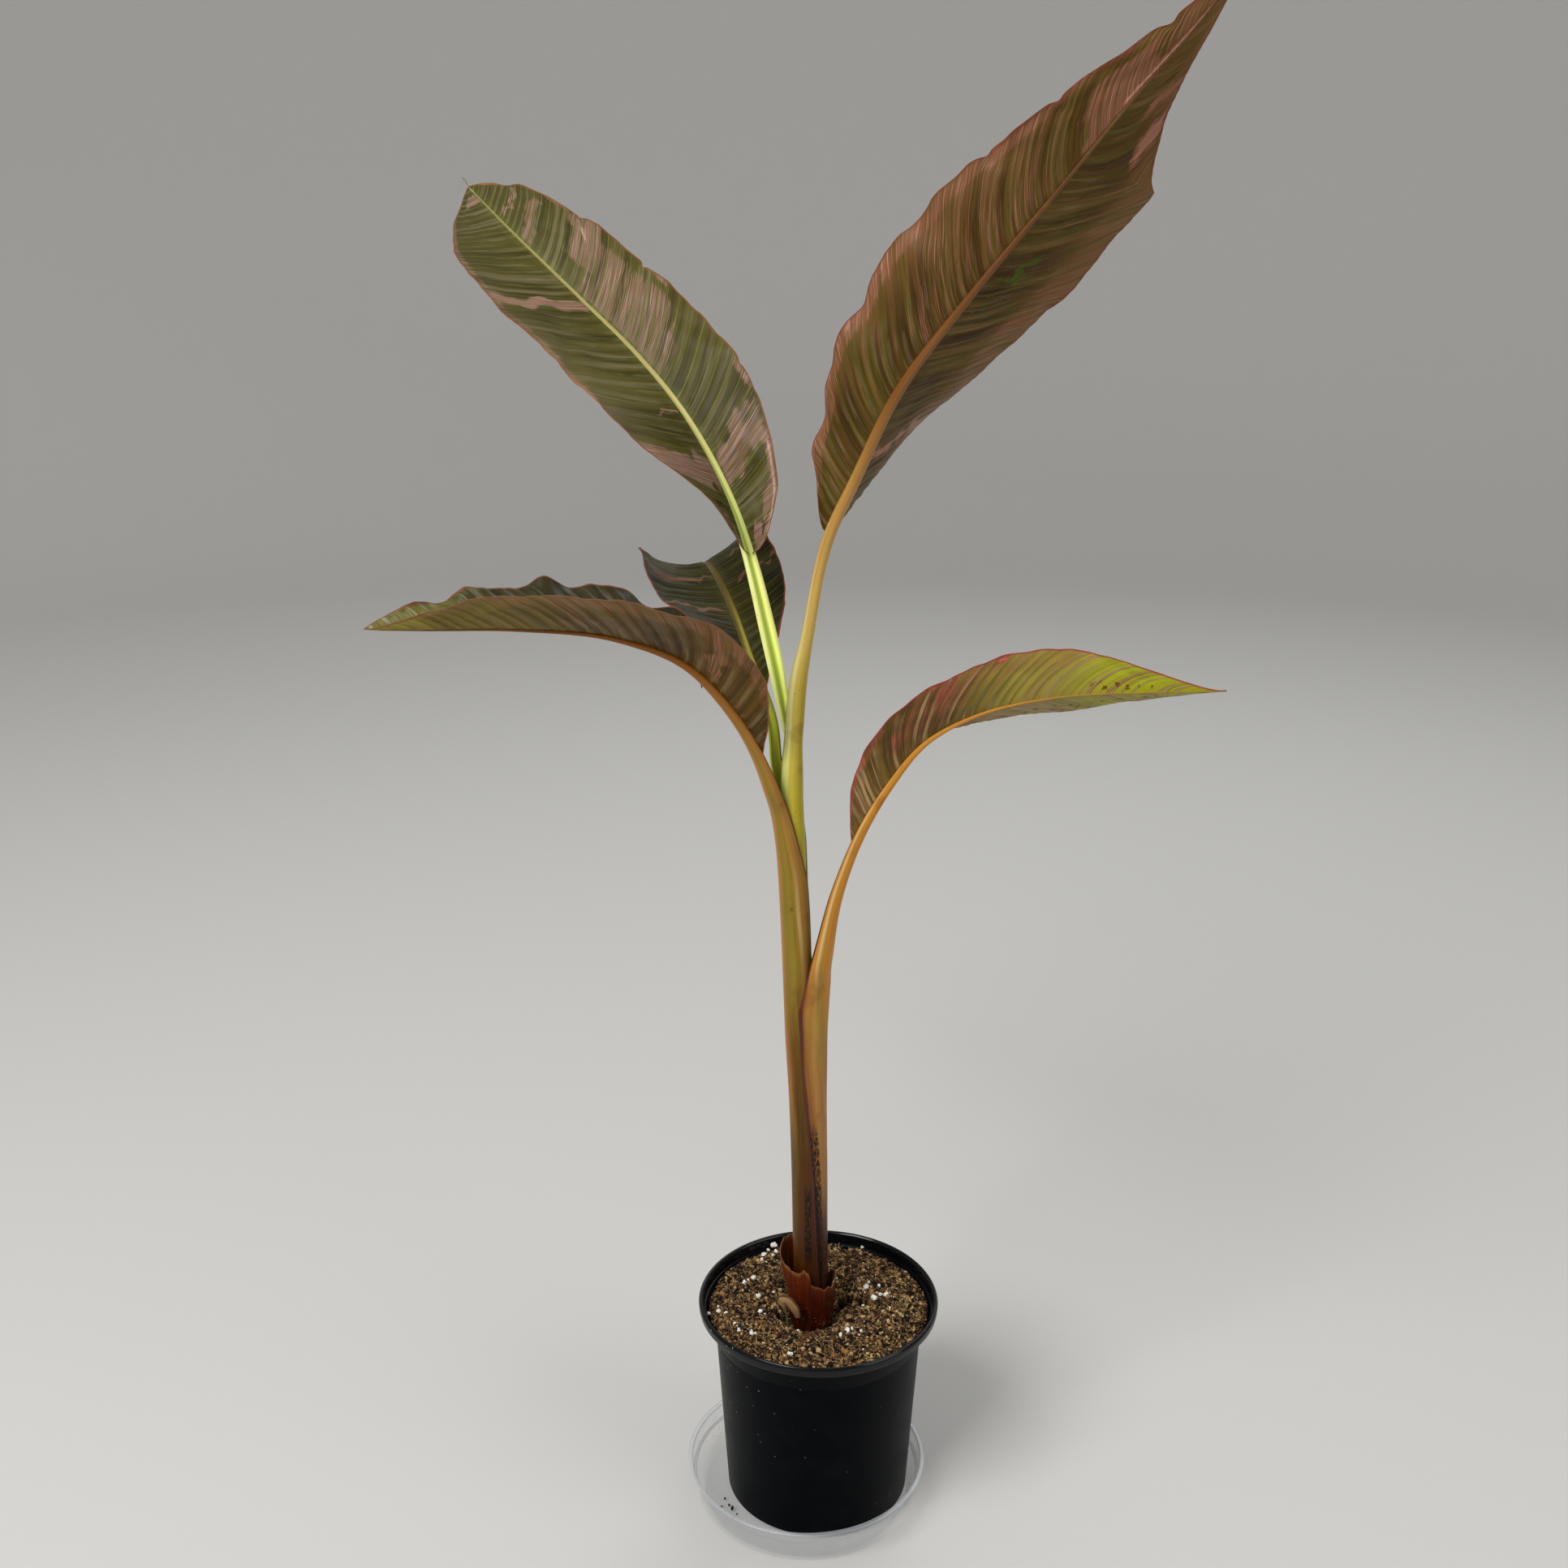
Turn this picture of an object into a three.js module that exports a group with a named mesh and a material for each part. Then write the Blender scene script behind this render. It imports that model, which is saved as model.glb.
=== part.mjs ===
// A young potted banana plant: five leaves on a short stem of rolled leaf sheaths, in a nursery pot
// that stands in a clear saucer. Millimetres, +Z up. The origin is on the ground, on the pot's axis;
// +X is to the right and +Y away, seen from the front.
import * as THREE from "three";

const gap = 0.3; // between pieces that touch
const radialSteps = 48; // round the pot and the saucer

const saucer = { x: -7.4, y: -6.5, floor: 1.6, wall: 1.3, baseRadius: 69, rimRadius: 77, height: 25.2 };
const pot = { height: 137.5, rimRadius: 76, baseRadius: 58.2, wall: 1.2, collarFoot: 117, lipHeight: 6 };
const soil = { edge: 131, foot: 118, footRadius: 22 };
const potFoot = saucer.floor + gap;
const stemFoot = soil.foot + gap;

// The rolled stem, up to where its two outer sheaths part: height, middle x, half widths in x and y.
const stem = {
  forkHeight: 361,
  sections: [
    [stemFoot, -4.6, 11.4, 10],
    [150, -4.9, 11, 9.6],
    [185, -5.4, 11, 9.6],
    [229, -6, 11.2, 9.7],
    [281, -7.3, 11.6, 10],
    [322, -8.3, 12.9, 10.4],
    [361, -8.1, 14.3, 10.6],
  ],
};

// The inner roll that comes out of the fork and carries the two upper leaves: height, middle x, radius.
const innerRoll = {
  sections: [
    [stem.forkHeight + gap, -12.5, 6.2],
    [404, -14.3, 6.1],
    [443, -15.4, 6.0],
    [466, -16.6, 6.1],
    [490, -17.2, 6.2],
    [505, -17.3, 6.4],
  ],
};

// A leaf stalk is a channelled stem. Its section is [channel radius, thickness at the back, thickness
// at the lips, degrees that it wraps]. A sheath station gives the point on the back, the section and
// the compass direction that the channel faces (0 is +X, 90 is +Y). From there on the stalk follows
// the rib, and then the rib's keel runs on under the blade to its tip.
//
// rib: points from the stalk's foot to the tip. bladeFrom: share of the rib that bears no blade.
// face: [share, direction of the upper side]. left and right, seen from the upper side with the tip
// up: [widest half, share of the blade that the base takes, where it starts to narrow, power of the
// narrowing, how pointed the tip is, how tapered the base is (0.5 is round, 1 runs out slowly)].
// fold and curl: [share of the blade, degrees above the rib].
const leaves = {
  right_upper: {
    color: 0x6b5a3a,
    rib: [[-17, 0, 506], [-14, -3, 544], [-10, -8, 566], [3, -17, 628], [15, -23, 655], [37, -35, 703],
      [71, -52, 751], [107, -70, 797], [140, -88, 840], [166, -104, 872], [186, -122, 902]],
    bladeFrom: 0.26,
    face: [[0, [-0.46, 0.89, 0.01]], [0.35, [-0.08, 0.96, 0.25]], [0.7, [0.13, 0.95, 0.29]],
      [1, [-0.17, 0.78, 0.6]]],
    left: [56, 0.28, 0.67, 0.7, 1.42, 0.5],
    right: [50.5, 0.34, 0.38, 1.43, 1.16, 0.66],
    foldLeft: [[0, 60], [0.3, 40], [0.7, 29], [1, 7]],
    foldRight: [[0, 45], [0.3, 28], [0.7, -10], [1, -5]],
    curlLeft: [[0, 20], [0.5, 10], [1, 10]],
    curlRight: [[0, 30], [0.5, 25], [1, 20]],
    sheath: [],
    stalk: [[0, [4.3, 2, 0.9, 190]], [0.08, [3.6, 2.8, 1, 190]], [0.13, [2.2, 3.2, 1, 180]],
      [0.26, [1.8, 3, 1, 180]], [0.42, [1.4, 2.8, 0.8, 180]], [0.6, [0.8, 1.8, 0.6, 180]],
      [0.75, [0.4, 0.9, 0.4, 180]], [1, [0.1, 0.3, 0.2, 180]]],
    parts: [[0, 1]],
  },
  left_upper: {
    color: 0x56663a,
    rib: [[-18, 1, 506.1], [-29, 10, 561], [-53, 34, 641], [-78, 50, 684], [-107, 68, 717],
      [-138, 86, 745], [-183, 120, 784], [-215, 168, 810]],
    bladeFrom: 0.255,
    face: [[0, [0.3, -0.95, 0.09]], [0.5, [0.25, -0.77, 0.59]], [1, [-0.4, -0.5, 0.65]]],
    left: [51, 0.32, 0.48, 2.16, 0.76, 0.8],
    right: [43.5, 0.36, 0.5, 2.1, 0.88, 0.52],
    foldLeft: [[0, 57], [0.3, 17], [0.7, 13], [1, -5]],
    foldRight: [[0, 48], [0.3, 33], [0.7, 18], [1, 30]],
    curlLeft: [[0, 10], [0.5, 10], [1, 1]],
    curlRight: [[0, 10], [0.5, -20], [1, -20]],
    sheath: [],
    stalk: [[0, [1.6, 2.2, 0.9, 180]], [0.1, [3, 3.1, 1.3, 190]], [0.2, [2.8, 3.3, 1.3, 185]],
      [0.27, [2.2, 3.2, 1.2, 180]], [0.5, [1.3, 2.6, 0.8, 180]], [0.75, [0.7, 1.6, 0.5, 180]],
      [1, [0.2, 0.5, 0.3, 180]]],
    parts: [[0, 1]],
  },
  left_lower: {
    color: 0x6f5f38,
    rib: [[-16, -1, 441], [-27, -7, 484], [-50, -13, 528], [-76, -18, 556], [-112, -23, 571],
      [-166, -28, 577], [-216, -30, 577], [-250, -30, 577]],
    bladeFrom: 0.2,
    face: [[0, [0.97, 0.1, 0.1]], [0.15, [0.85, 0.25, 0.4]], [0.3, [0.74, 0.26, 0.62]],
      [0.6, [0.2, -0.1, 0.97]], [1, [0.04, 0.06, 1]]],
    left: [50, 0.38, 0.47, 1.87, 1.4, 1],
    right: [45, 0.6, 0.45, 1.98, 0.85, 0.9],
    foldLeft: [[0, 40], [0.3, 33], [0.7, 40], [1, 41]],
    foldRight: [[0, 80], [0.3, 26], [0.7, 18], [1, 45]],
    curlLeft: [[0, 10], [0.5, 10], [1, 10]],
    curlRight: [[0, 10], [0.5, 10], [1, 10]],
    sheath: [
      { back: [-22.6, 0, 361.3], section: [7.5, 2.9, 1.1, 290], faces: 0 },
      { back: [-24.3, 0, 404], section: [7.7, 2.9, 1.1, 270], faces: 0 },
      { back: [-25.5, -0.9, 427], section: [8.7, 2.1, 1.1, 215], faces: 2 },
      { back: [-26.8, -1.7, 443], section: [8.5, 2.5, 1.1, 165], faces: 6 },
      { back: [-29.4, -3, 462], section: [7.2, 3, 1.1, 112], faces: 14 },
    ],
    stalk: [[0, [7.9, 2.6, 1.1, 185]], [0.14, [4.6, 3.7, 1, 175]], [0.2, [3.2, 3.7, 1, 175]],
      [0.35, [1.9, 3.2, 0.8, 180]], [0.5, [1.2, 2.6, 0.7, 180]], [0.75, [0.5, 1.4, 0.5, 180]],
      [1, [0.2, 0.5, 0.3, 180]]],
    sheathUpTo: 0.14,
    parts: [[0, 0.45], [0.45, 1]],
  },
  right_lower: {
    color: 0x7d7a35,
    rib: [[-2, -4, 371], [8, -8, 419], [22, -11, 457], [37, -13, 483], [58, -14, 509], [86, -16, 525],
      [125, -18, 535], [177, -20, 539], [224, -20, 540]],
    bladeFrom: 0.24,
    face: [[0, [-0.93, 0.34, 0.15]], [0.3, [-0.7, 0.6, 0.39]], [0.6, [-0.19, 0.84, 0.51]],
      [1, [-0.02, 0.83, 0.56]]],
    left: [40.5, 0.36, 0.42, 1.72, 1.1, 0.8],
    right: [30.5, 0.42, 0.51, 2.03, 1.62, 0.82],
    foldLeft: [[0, 66], [0.3, 37], [0.7, 23], [1, 26]],
    foldRight: [[0, 90], [0.3, 14], [0.7, 29], [1, 16]],
    curlLeft: [[0, 10], [0.5, 10], [1, 10]],
    curlRight: [[0, 10], [0.5, 10], [1, 10]],
    sheath: [{ back: [4.8, -6.3, 361.3], section: [9.6, 8.6, 1.4, 120], faces: 160 }],
    stalk: [[0, [5.5, 3.8, 1.2, 150]], [0.08, [3.4, 3.6, 1.1, 170]], [0.16, [2.6, 3.5, 1, 180]],
      [0.27, [1.8, 3.3, 1, 180]], [0.4, [1.1, 2.4, 0.8, 180]], [0.55, [0.5, 1.3, 0.5, 180]],
      [0.68, [0.25, 0.6, 0.35, 180]], [1, [0.15, 0.4, 0.25, 180]]],
    sheathUpTo: 0,
    parts: [[0, 0.4], [0.4, 1]],
  },
  back: {
    color: 0x42522c,
    rib: [[-25.5, 5, 478], [-28, 9, 514], [-42, 38, 546], [-54, 69, 571], [-68, 106, 588],
      [-77, 152, 575], [-80, 192, 530], [-79, 216, 474]],
    bladeFrom: 0.17,
    face: [[0, [0.23, -0.97, 0.1]], [0.3, [0.32, -0.49, 0.81]], [0.6, [-0.24, 0.38, 0.89]],
      [1, [0.11, 0.94, 0.31]]],
    left: [44.5, 0.4, 0.42, 1.67, 1.19, 0.9],
    right: [41, 0.42, 0.42, 1.8, 1, 0.8],
    foldLeft: [[0, 52], [0.3, -20], [0.7, 26], [1, 11]],
    foldRight: [[0, 65], [0.3, 18], [0.7, 25], [1, 9]],
    curlLeft: [[0, 14], [0.25, 20], [0.42, 64], [0.6, 40], [1, 10]],
    curlRight: [[0, 10], [0.5, 10], [1, 10]],
    sheath: [
      { back: [-16.4, 7.2, 430], section: [6.5, 0.9, 0.6, 110], faces: -80 },
      { back: [-17.6, 7.2, 450], section: [6.5, 1, 0.6, 110], faces: -76 },
      { back: [-20.3, 8, 464], section: [6.7, 1.4, 0.6, 95], faces: -66 },
    ],
    stalk: [[0, [3, 2.5, 0.9, 160]], [0.06, [2.2, 2.6, 0.9, 180]], [0.17, [1.7, 2.8, 0.9, 180]],
      [0.5, [1.1, 2.5, 0.7, 180]], [0.75, [0.6, 1.6, 0.5, 180]], [1, [0.2, 0.5, 0.3, 180]]],
    sheathUpTo: 0.02,
    parts: [[0, 0.5], [0.5, 0.72], [0.72, 1]],
  },
};

const veinLean = 0.12; // how far a vein runs on towards the tip, as a share of the blade
const bladeShare = 0.0105; // a blade's thickness over its length
const marginShare = 0.6; // thickness at the margin over the thickness inside
const acrossBlade = [1, 0.72, 0.42, 0.2]; // where a half blade's points lie, margin to rib
const keelAngle = 50; // degrees off the keel's middle of its two side points
const footRows = [0.0005, 0.006, 0.022, 0.045, 0.08, 0.12]; // a blade's first rows, at its round base
const lastRow = 0.992;
const bladeStep = 17; // between a blade's other rows
const stalkStep = 12; // between a stalk's sections
const sectionSteps = 8; // round a stalk's section
const partGap = 0.9 * gap; // left by each of two stretches of one blade

// Old sheaths round the foot, torn off short: the same channel stations as a stalk.
const oldSheaths = {
  left: {
    color: 0x5a2410,
    stations: [
      { back: [-18.9, 0, stemFoot], section: [12.8, 1.2, 0.9, 150], faces: -8 },
      { back: [-20.6, 0, 142], section: [13.6, 1.2, 0.9, 150], faces: -8 },
      { back: [-22.2, 0.5, 156], section: [14, 1.2, 0.9, 130], faces: -10 },
      { back: [-23.3, 1.5, 168], section: [13.6, 1.2, 0.9, 80], faces: -14 },
      { back: [-23.2, 2, 178], section: [13, 1, 0.8, 30], faces: -14 },
    ],
  },
  right: {
    color: 0x4a1a0c,
    stations: [
      { back: [4.7, -9.9, stemFoot], section: [12.6, 1.2, 0.9, 125], faces: 134 },
      { back: [5.4, -10.6, 136], section: [13.4, 1.2, 0.9, 120], faces: 134 },
      { back: [6.5, -10.8, 148], section: [14, 1.2, 0.9, 100], faces: 136 },
      { back: [7.4, -10.4, 155], section: [14, 1, 0.9, 60], faces: 138 },
    ],
  },
};

// A curled dry strip that stands in the soil by the foot: points up its middle, width and thickness.
const dryStrip = {
  path: [[-18, -17, 120.45], [-21, -18, 131], [-24, -18, 141], [-21, -19, 146], [-14, -20, 141]],
  width: 6,
  thickness: 1.2,
};

const vector = (p) => new THREE.Vector3(p[0], p[1], p[2]);
const radians = THREE.MathUtils.degToRad;
const clamp = THREE.MathUtils.clamp;
const smooth = THREE.MathUtils.smoothstep;

// The value at share s of a smooth curve through [share, number] stations.
function along(stations, s) {
  const x = clamp(s, stations[0][0], stations.at(-1)[0]);
  const k = clamp(stations.findLastIndex(([at]) => at <= x), 0, stations.length - 2);
  const slope = (i) => (stations[i + 1][1] - stations[i][1]) / (stations[i + 1][0] - stations[i][0]);
  const tangent = (i) => {
    if (i === 0) return slope(0);
    if (i === stations.length - 1) return slope(i - 1);
    const before = stations[i][0] - stations[i - 1][0];
    const after = stations[i + 1][0] - stations[i][0];
    return (before * slope(i) + after * slope(i - 1)) / (before + after);
  };
  const span = stations[k + 1][0] - stations[k][0];
  const u = (x - stations[k][0]) / span;
  return (
    (2 * u ** 3 - 3 * u ** 2 + 1) * stations[k][1] +
    (u ** 3 - 2 * u ** 2 + u) * span * tangent(k) +
    (3 * u ** 2 - 2 * u ** 3) * stations[k + 1][1] +
    (u ** 3 - u ** 2) * span * tangent(k + 1)
  );
}

// The same for stations that hold lists of numbers.
function alongEach(stations, s) {
  return stations[0][1].map((_, i) => along(stations.map(([at, list]) => [at, list[i]]), s));
}

const curveThrough = (points) => {
  const curve = new THREE.CatmullRomCurve3(points, false, "chordal");
  curve.arcLengthDivisions = 600;
  return curve;
};

// A closed solid between two grids of points, front[row][i] and back[row][i].
function slab(front, back) {
  const rows = front.length;
  const columns = front[0].length;
  const points = [...front.flat(), ...back.flat()].flatMap((p) => [p.x, p.y, p.z]);
  const index = [];
  const f = (r, c) => r * columns + c;
  const b = (r, c) => rows * columns + f(r, c);
  const quad = (p, q, r, s) => index.push(p, q, r, p, r, s);
  for (let r = 0; r < rows - 1; r++)
    for (let c = 0; c < columns - 1; c++) {
      quad(f(r, c), f(r, c + 1), f(r + 1, c + 1), f(r + 1, c));
      quad(b(r, c), b(r + 1, c), b(r + 1, c + 1), b(r, c + 1));
    }
  for (let r = 0; r < rows - 1; r++) {
    quad(f(r, 0), f(r + 1, 0), b(r + 1, 0), b(r, 0));
    quad(f(r + 1, columns - 1), f(r, columns - 1), b(r, columns - 1), b(r + 1, columns - 1));
  }
  for (let c = 0; c < columns - 1; c++) {
    quad(f(0, c + 1), f(0, c), b(0, c), b(0, c + 1));
    quad(f(rows - 1, c), f(rows - 1, c + 1), b(rows - 1, c + 1), b(rows - 1, c));
  }
  return new THREE.BufferGeometry()
    .setAttribute("position", new THREE.Float32BufferAttribute(points, 3))
    .setIndex(index);
}

// A closed solid through round rings of points, with a fan over each end.
function ringLoft(rings) {
  const count = rings[0].length;
  const middles = [rings[0], rings.at(-1)].map((ring) =>
    ring.reduce((sum, p) => sum.add(p), new THREE.Vector3()).divideScalar(count));
  const points = [...rings.flat(), ...middles].flatMap((p) => [p.x, p.y, p.z]);
  const index = [];
  const at = (r, i) => r * count + (i % count);
  for (let r = 0; r < rings.length - 1; r++)
    for (let i = 0; i < count; i++) {
      index.push(at(r, i), at(r, i + 1), at(r + 1, i + 1));
      index.push(at(r, i), at(r + 1, i + 1), at(r + 1, i));
    }
  for (let i = 0; i < count; i++) {
    index.push(rings.length * count, at(0, i + 1), at(0, i));
    index.push(rings.length * count + 1, at(rings.length - 1, i), at(rings.length - 1, i + 1));
  }
  return new THREE.BufferGeometry()
    .setAttribute("position", new THREE.Float32BufferAttribute(points, 3))
    .setIndex(index);
}

// The rib as points with the tangent, the upper side's normal and the leaf's right-hand direction.
function ribOf(leaf) {
  const curve = curveThrough(leaf.rib.map(vector));
  const length = curve.getLength();
  const at = (s) => {
    const share = clamp(s, 0, 1);
    const tangent = curve.getTangentAt(share).normalize();
    const point = curve.getPointAt(share).addScaledVector(tangent, (s - share) * length);
    const normal = vector(alongEach(leaf.face, share));
    normal.addScaledVector(tangent, -normal.dot(tangent)).normalize();
    return { point, tangent, normal, side: new THREE.Vector3().crossVectors(tangent, normal) };
  };
  return { at, length };
}

function halfWidth([widest, base, narrowsFrom, power, pointed, tapered], v) {
  const rise = (1 - (1 - Math.min(v / base, 1)) ** 2) ** tapered;
  const u = clamp((v - narrowsFrom) / (1 - narrowsFrom), 0, 1);
  return widest * rise * (1 - u ** power) ** pointed;
}

// A point of a half blade and its upward normal: v is where its vein leaves the rib, t runs from the
// rib (0) to the margin (1), and sign is 1 on the right and -1 on the left.
function bladePoint(leaf, rib, sign, v, t) {
  const shift = veinLean * smooth(v, 0, 0.15) * (1 - v) * t ** 1.5;
  const share = v + shift;
  const { point, normal, side } = rib.at(leaf.bladeFrom + share * (1 - leaf.bladeFrom));
  const distance = Math.max(halfWidth(sign > 0 ? leaf.right : leaf.left, share), 1) * t;
  const fold = radians(along(sign > 0 ? leaf.foldRight : leaf.foldLeft, share));
  const curl = radians(along(sign > 0 ? leaf.curlRight : leaf.curlLeft, share)) * t;
  const bend = Math.abs(curl) < 1e-3 ? 1e-3 : curl;
  const out = (distance * (Math.sin(fold + bend) - Math.sin(fold))) / bend;
  const up = (distance * (Math.cos(fold) - Math.cos(fold + bend))) / bend;
  const place = point.clone().addScaledVector(side, sign * out).addScaledVector(normal, up);
  const upward = normal.clone().multiplyScalar(Math.cos(fold + bend));
  upward.addScaledVector(side, -sign * Math.sin(fold + bend));
  return { place, upward };
}

// The outer and inner arcs of a channel, in a plane square to the stalk: back is the point on the
// stalk's back, normal points the way that the channel faces.
function channelArcs(back, normal, side, [channel, thick, lip, wrap]) {
  const middle = back.clone().addScaledVector(normal, channel + thick);
  const arc = (radiusAt) =>
    Array.from({ length: sectionSteps + 1 }, (_, i) => {
      const turn = i / sectionSteps - 0.5;
      const angle = radians(wrap) * turn;
      const radius = radiusAt(Math.cos(Math.PI * turn));
      return middle.clone().addScaledVector(side, radius * Math.sin(angle))
        .addScaledVector(normal, -radius * Math.cos(angle));
    });
  return { outer: arc((c) => channel + lip + (thick - lip) * c), inner: arc(() => channel) };
}

// A channelled solid through stations of { back, normal, section }.
function channelSolid(stations) {
  const curve = curveThrough(stations.map((s) => s.back));
  const inner = [];
  const outer = [];
  stations.forEach(({ back, normal, section }, i) => {
    const tangent = curve.getTangent(i / (stations.length - 1)).normalize();
    const facing = normal.clone().addScaledVector(tangent, -normal.dot(tangent)).normalize();
    const side = new THREE.Vector3().crossVectors(tangent, facing);
    const arcs = channelArcs(back, facing, side, section);
    inner.push(arcs.inner);
    outer.push(arcs.outer);
  });
  return slab(inner, outer);
}

const compass = (degrees) => new THREE.Vector3(Math.cos(radians(degrees)), Math.sin(radians(degrees)), 0);
const sheathStation = ({ back, section, faces }) =>
  ({ back: vector(back), normal: compass(faces), section });

// A leaf's stalk: its sheath stations, then a station every so often along the rib to the blade.
function stalkSolid(leaf, rib) {
  const from = leaf.sheath.length ? leaf.sheathUpTo : 0;
  const end = leaf.bladeFrom - gap / rib.length;
  const steps = Math.round(((end - from) * rib.length) / stalkStep);
  const alongRib = Array.from({ length: steps + 1 }, (_, i) => {
    const s = from + ((end - from) * i) / steps;
    const { point, normal } = rib.at(s);
    const section = alongEach(leaf.stalk, s);
    return { back: point.addScaledVector(normal, -section[0] - section[1]), normal, section };
  });
  return channelSolid([...leaf.sheath.map(sheathStation), ...alongRib]);
}

// A stretch of blade from vein to vein, with the rib's keel under it.
function bladeSolid(leaf, rib, [from, to]) {
  const bladeLength = rib.length * (1 - leaf.bladeFrom);
  const thickness = bladeShare * bladeLength;
  const firstRows = from === 0 ? footRows : [from + partGap / bladeLength];
  const start = firstRows.at(-1);
  const end = to === 1 ? lastRow : to - partGap / bladeLength;
  const steps = Math.round(((end - start) * bladeLength) / bladeStep);
  const rest = Array.from({ length: steps }, (_, i) => start + ((end - start) * (i + 1)) / steps);
  const top = [];
  const bottom = [];
  for (const v of [...firstRows, ...rest]) {
    const { point, normal, side } = rib.at(leaf.bladeFrom + v * (1 - leaf.bladeFrom));
    const [channel, back, lip] = alongEach(leaf.stalk, leaf.bladeFrom + v * (1 - leaf.bladeFrom));
    const width = (sign) => Math.max(halfWidth(sign > 0 ? leaf.right : leaf.left, v), 1);
    const thin = Math.min(1, 0.35 + 0.65 * Math.min(width(1), width(-1)) / 8);
    const sheet = (sign, t, up) => {
      const { place, upward } = bladePoint(leaf, rib, sign, v, t);
      const share = t === 1 ? marginShare : 1;
      return place.addScaledVector(upward, up * 0.5 * thickness * thin * share);
    };
    const keelWidth = Math.min(channel + lip, 0.15 * Math.min(width(1), width(-1)) + 0.4);
    const keel = (angle) => point.clone()
      .addScaledVector(side, keelWidth * Math.sin(radians(angle)))
      .addScaledVector(normal, -(channel + back) * Math.cos(radians(angle)) * 0.8 - 0.3);
    const crest = (angle) => point.clone()
      .addScaledVector(side, keelWidth * Math.sin(radians(angle)))
      .addScaledVector(normal, 0.5 * thickness * thin * (1 - 0.5 * Math.cos(radians(angle))));
    const chain = (middle, up) => [
      ...acrossBlade.map((t) => sheet(-1, t, up)),
      middle(-keelAngle), middle(0), middle(keelAngle),
      ...[...acrossBlade].reverse().map((t) => sheet(1, t, up)),
    ];
    top.push(chain(crest, 1));
    bottom.push(chain(keel, -1));
  }
  return slab(top, bottom);
}

// Rings square to Z through sections of [height, middle x, half width in x, half width in y].
function uprightSolid(sections, sides = 20) {
  return ringLoft(sections.map(([z, x, halfX, halfY = halfX]) =>
    Array.from({ length: sides }, (_, i) => {
      const angle = (2 * Math.PI * i) / sides;
      return new THREE.Vector3(x + halfX * Math.cos(angle), halfY * Math.sin(angle), z);
    })));
}

// A body turned about Z from a profile of [radius, height], from the axis round to the axis.
function turned(profile) {
  const points = profile.map(([radius, height]) => new THREE.Vector2(radius, height));
  return new THREE.LatheGeometry(points, radialSteps).rotateX(Math.PI / 2);
}

function saucerProfile() {
  const { floor, wall, baseRadius, rimRadius, height } = saucer;
  const step = 0.6 * height; // a ring half way up, where the wall steps out
  return [
    [0, 0], [baseRadius, 0], [baseRadius + 1, 1], [baseRadius + 3.4, step], [baseRadius + 4.4, step + 1],
    [rimRadius - 1.8, height - 2], [rimRadius, height - 1.4], [rimRadius, height],
    [rimRadius - 3, height], [baseRadius + 3.2, step + 1], [baseRadius + 2.2, step],
    [baseRadius - wall + 0.8, floor + 1.4], [baseRadius - wall - 0.6, floor], [0, floor],
  ];
}

// The pot's wall leans out from its base to a collar, with a rolled lip on top.
const potWall = {
  foot: [pot.baseRadius, potFoot + 1.6],
  shoulder: [pot.baseRadius + 7, pot.collarFoot - 0.8],
  collar: [pot.baseRadius + 8.2, pot.collarFoot],
  underLip: [pot.baseRadius + 11.8, pot.height - pot.lipHeight],
};

function potProfile() {
  const { foot, shoulder, collar, underLip } = potWall;
  const { rimRadius, height, lipHeight, wall } = pot;
  return [
    [0, potFoot], [foot[0] - 1.2, potFoot], foot, shoulder, collar, underLip,
    [rimRadius - 1, height - lipHeight], [rimRadius, height - lipHeight + 1.2],
    [rimRadius, height - 2], [rimRadius - 1.4, height], [rimRadius - 4.6, height],
    [underLip[0] - wall, height - 2], [underLip[0] - wall, underLip[1]],
    [collar[0] - wall, collar[1] + 0.8], [shoulder[0] - wall, shoulder[1] + 0.8],
    [foot[0] - wall, foot[1] + 0.6], [0, potFoot + 2.2],
  ];
}

function soilProfile() {
  const inside = pot.wall + gap;
  const { foot, shoulder, collar, underLip } = potWall;
  const rise = (soil.edge - collar[1]) / (underLip[1] - collar[1]);
  const edgeRadius = collar[0] + (underLip[0] - collar[0]) * rise - inside - 0.2;
  return [
    [0, potFoot + 2.2 + gap], [foot[0] - inside - 0.9, potFoot + 2.2 + gap + 0.6],
    [shoulder[0] - inside - 0.3, shoulder[1]], [collar[0] - inside - 0.6, collar[1] + 2],
    [edgeRadius, soil.edge], [0.75 * edgeRadius, soil.edge - 1.5],
    [0.5 * edgeRadius, 0.5 * (soil.edge + soil.foot)], [soil.footRadius, soil.foot], [0, soil.foot],
  ];
}

function dryStripSolid() {
  const curve = curveThrough(dryStrip.path.map(vector));
  const across = new THREE.Vector3(0.35, -0.9, 0).normalize();
  const steps = 10;
  const sheet = (offset) =>
    Array.from({ length: steps + 1 }, (_, r) => {
      const point = curve.getPointAt(r / steps);
      const off = new THREE.Vector3().crossVectors(curve.getTangentAt(r / steps), across).normalize();
      const half = 0.5 * dryStrip.width * (0.25 + 0.75 * Math.sin((Math.PI * r) / steps) ** 0.5);
      return [-1, 0, 1].map((c) => point.clone().addScaledVector(across, c * half)
        .addScaledVector(off, offset + 0.8 * c * c));
    });
  return slab(sheet(-0.5 * dryStrip.thickness), sheet(0.5 * dryStrip.thickness));
}

const plant = new THREE.Group();

function add(name, geometry, color, roughness = 0.6, extra = {}) {
  const material = new THREE.MeshStandardMaterial({ color, roughness, metalness: 0, ...extra });
  const mesh = new THREE.Mesh(geometry, material);
  mesh.name = name;
  plant.add(mesh);
  return mesh;
}

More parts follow.
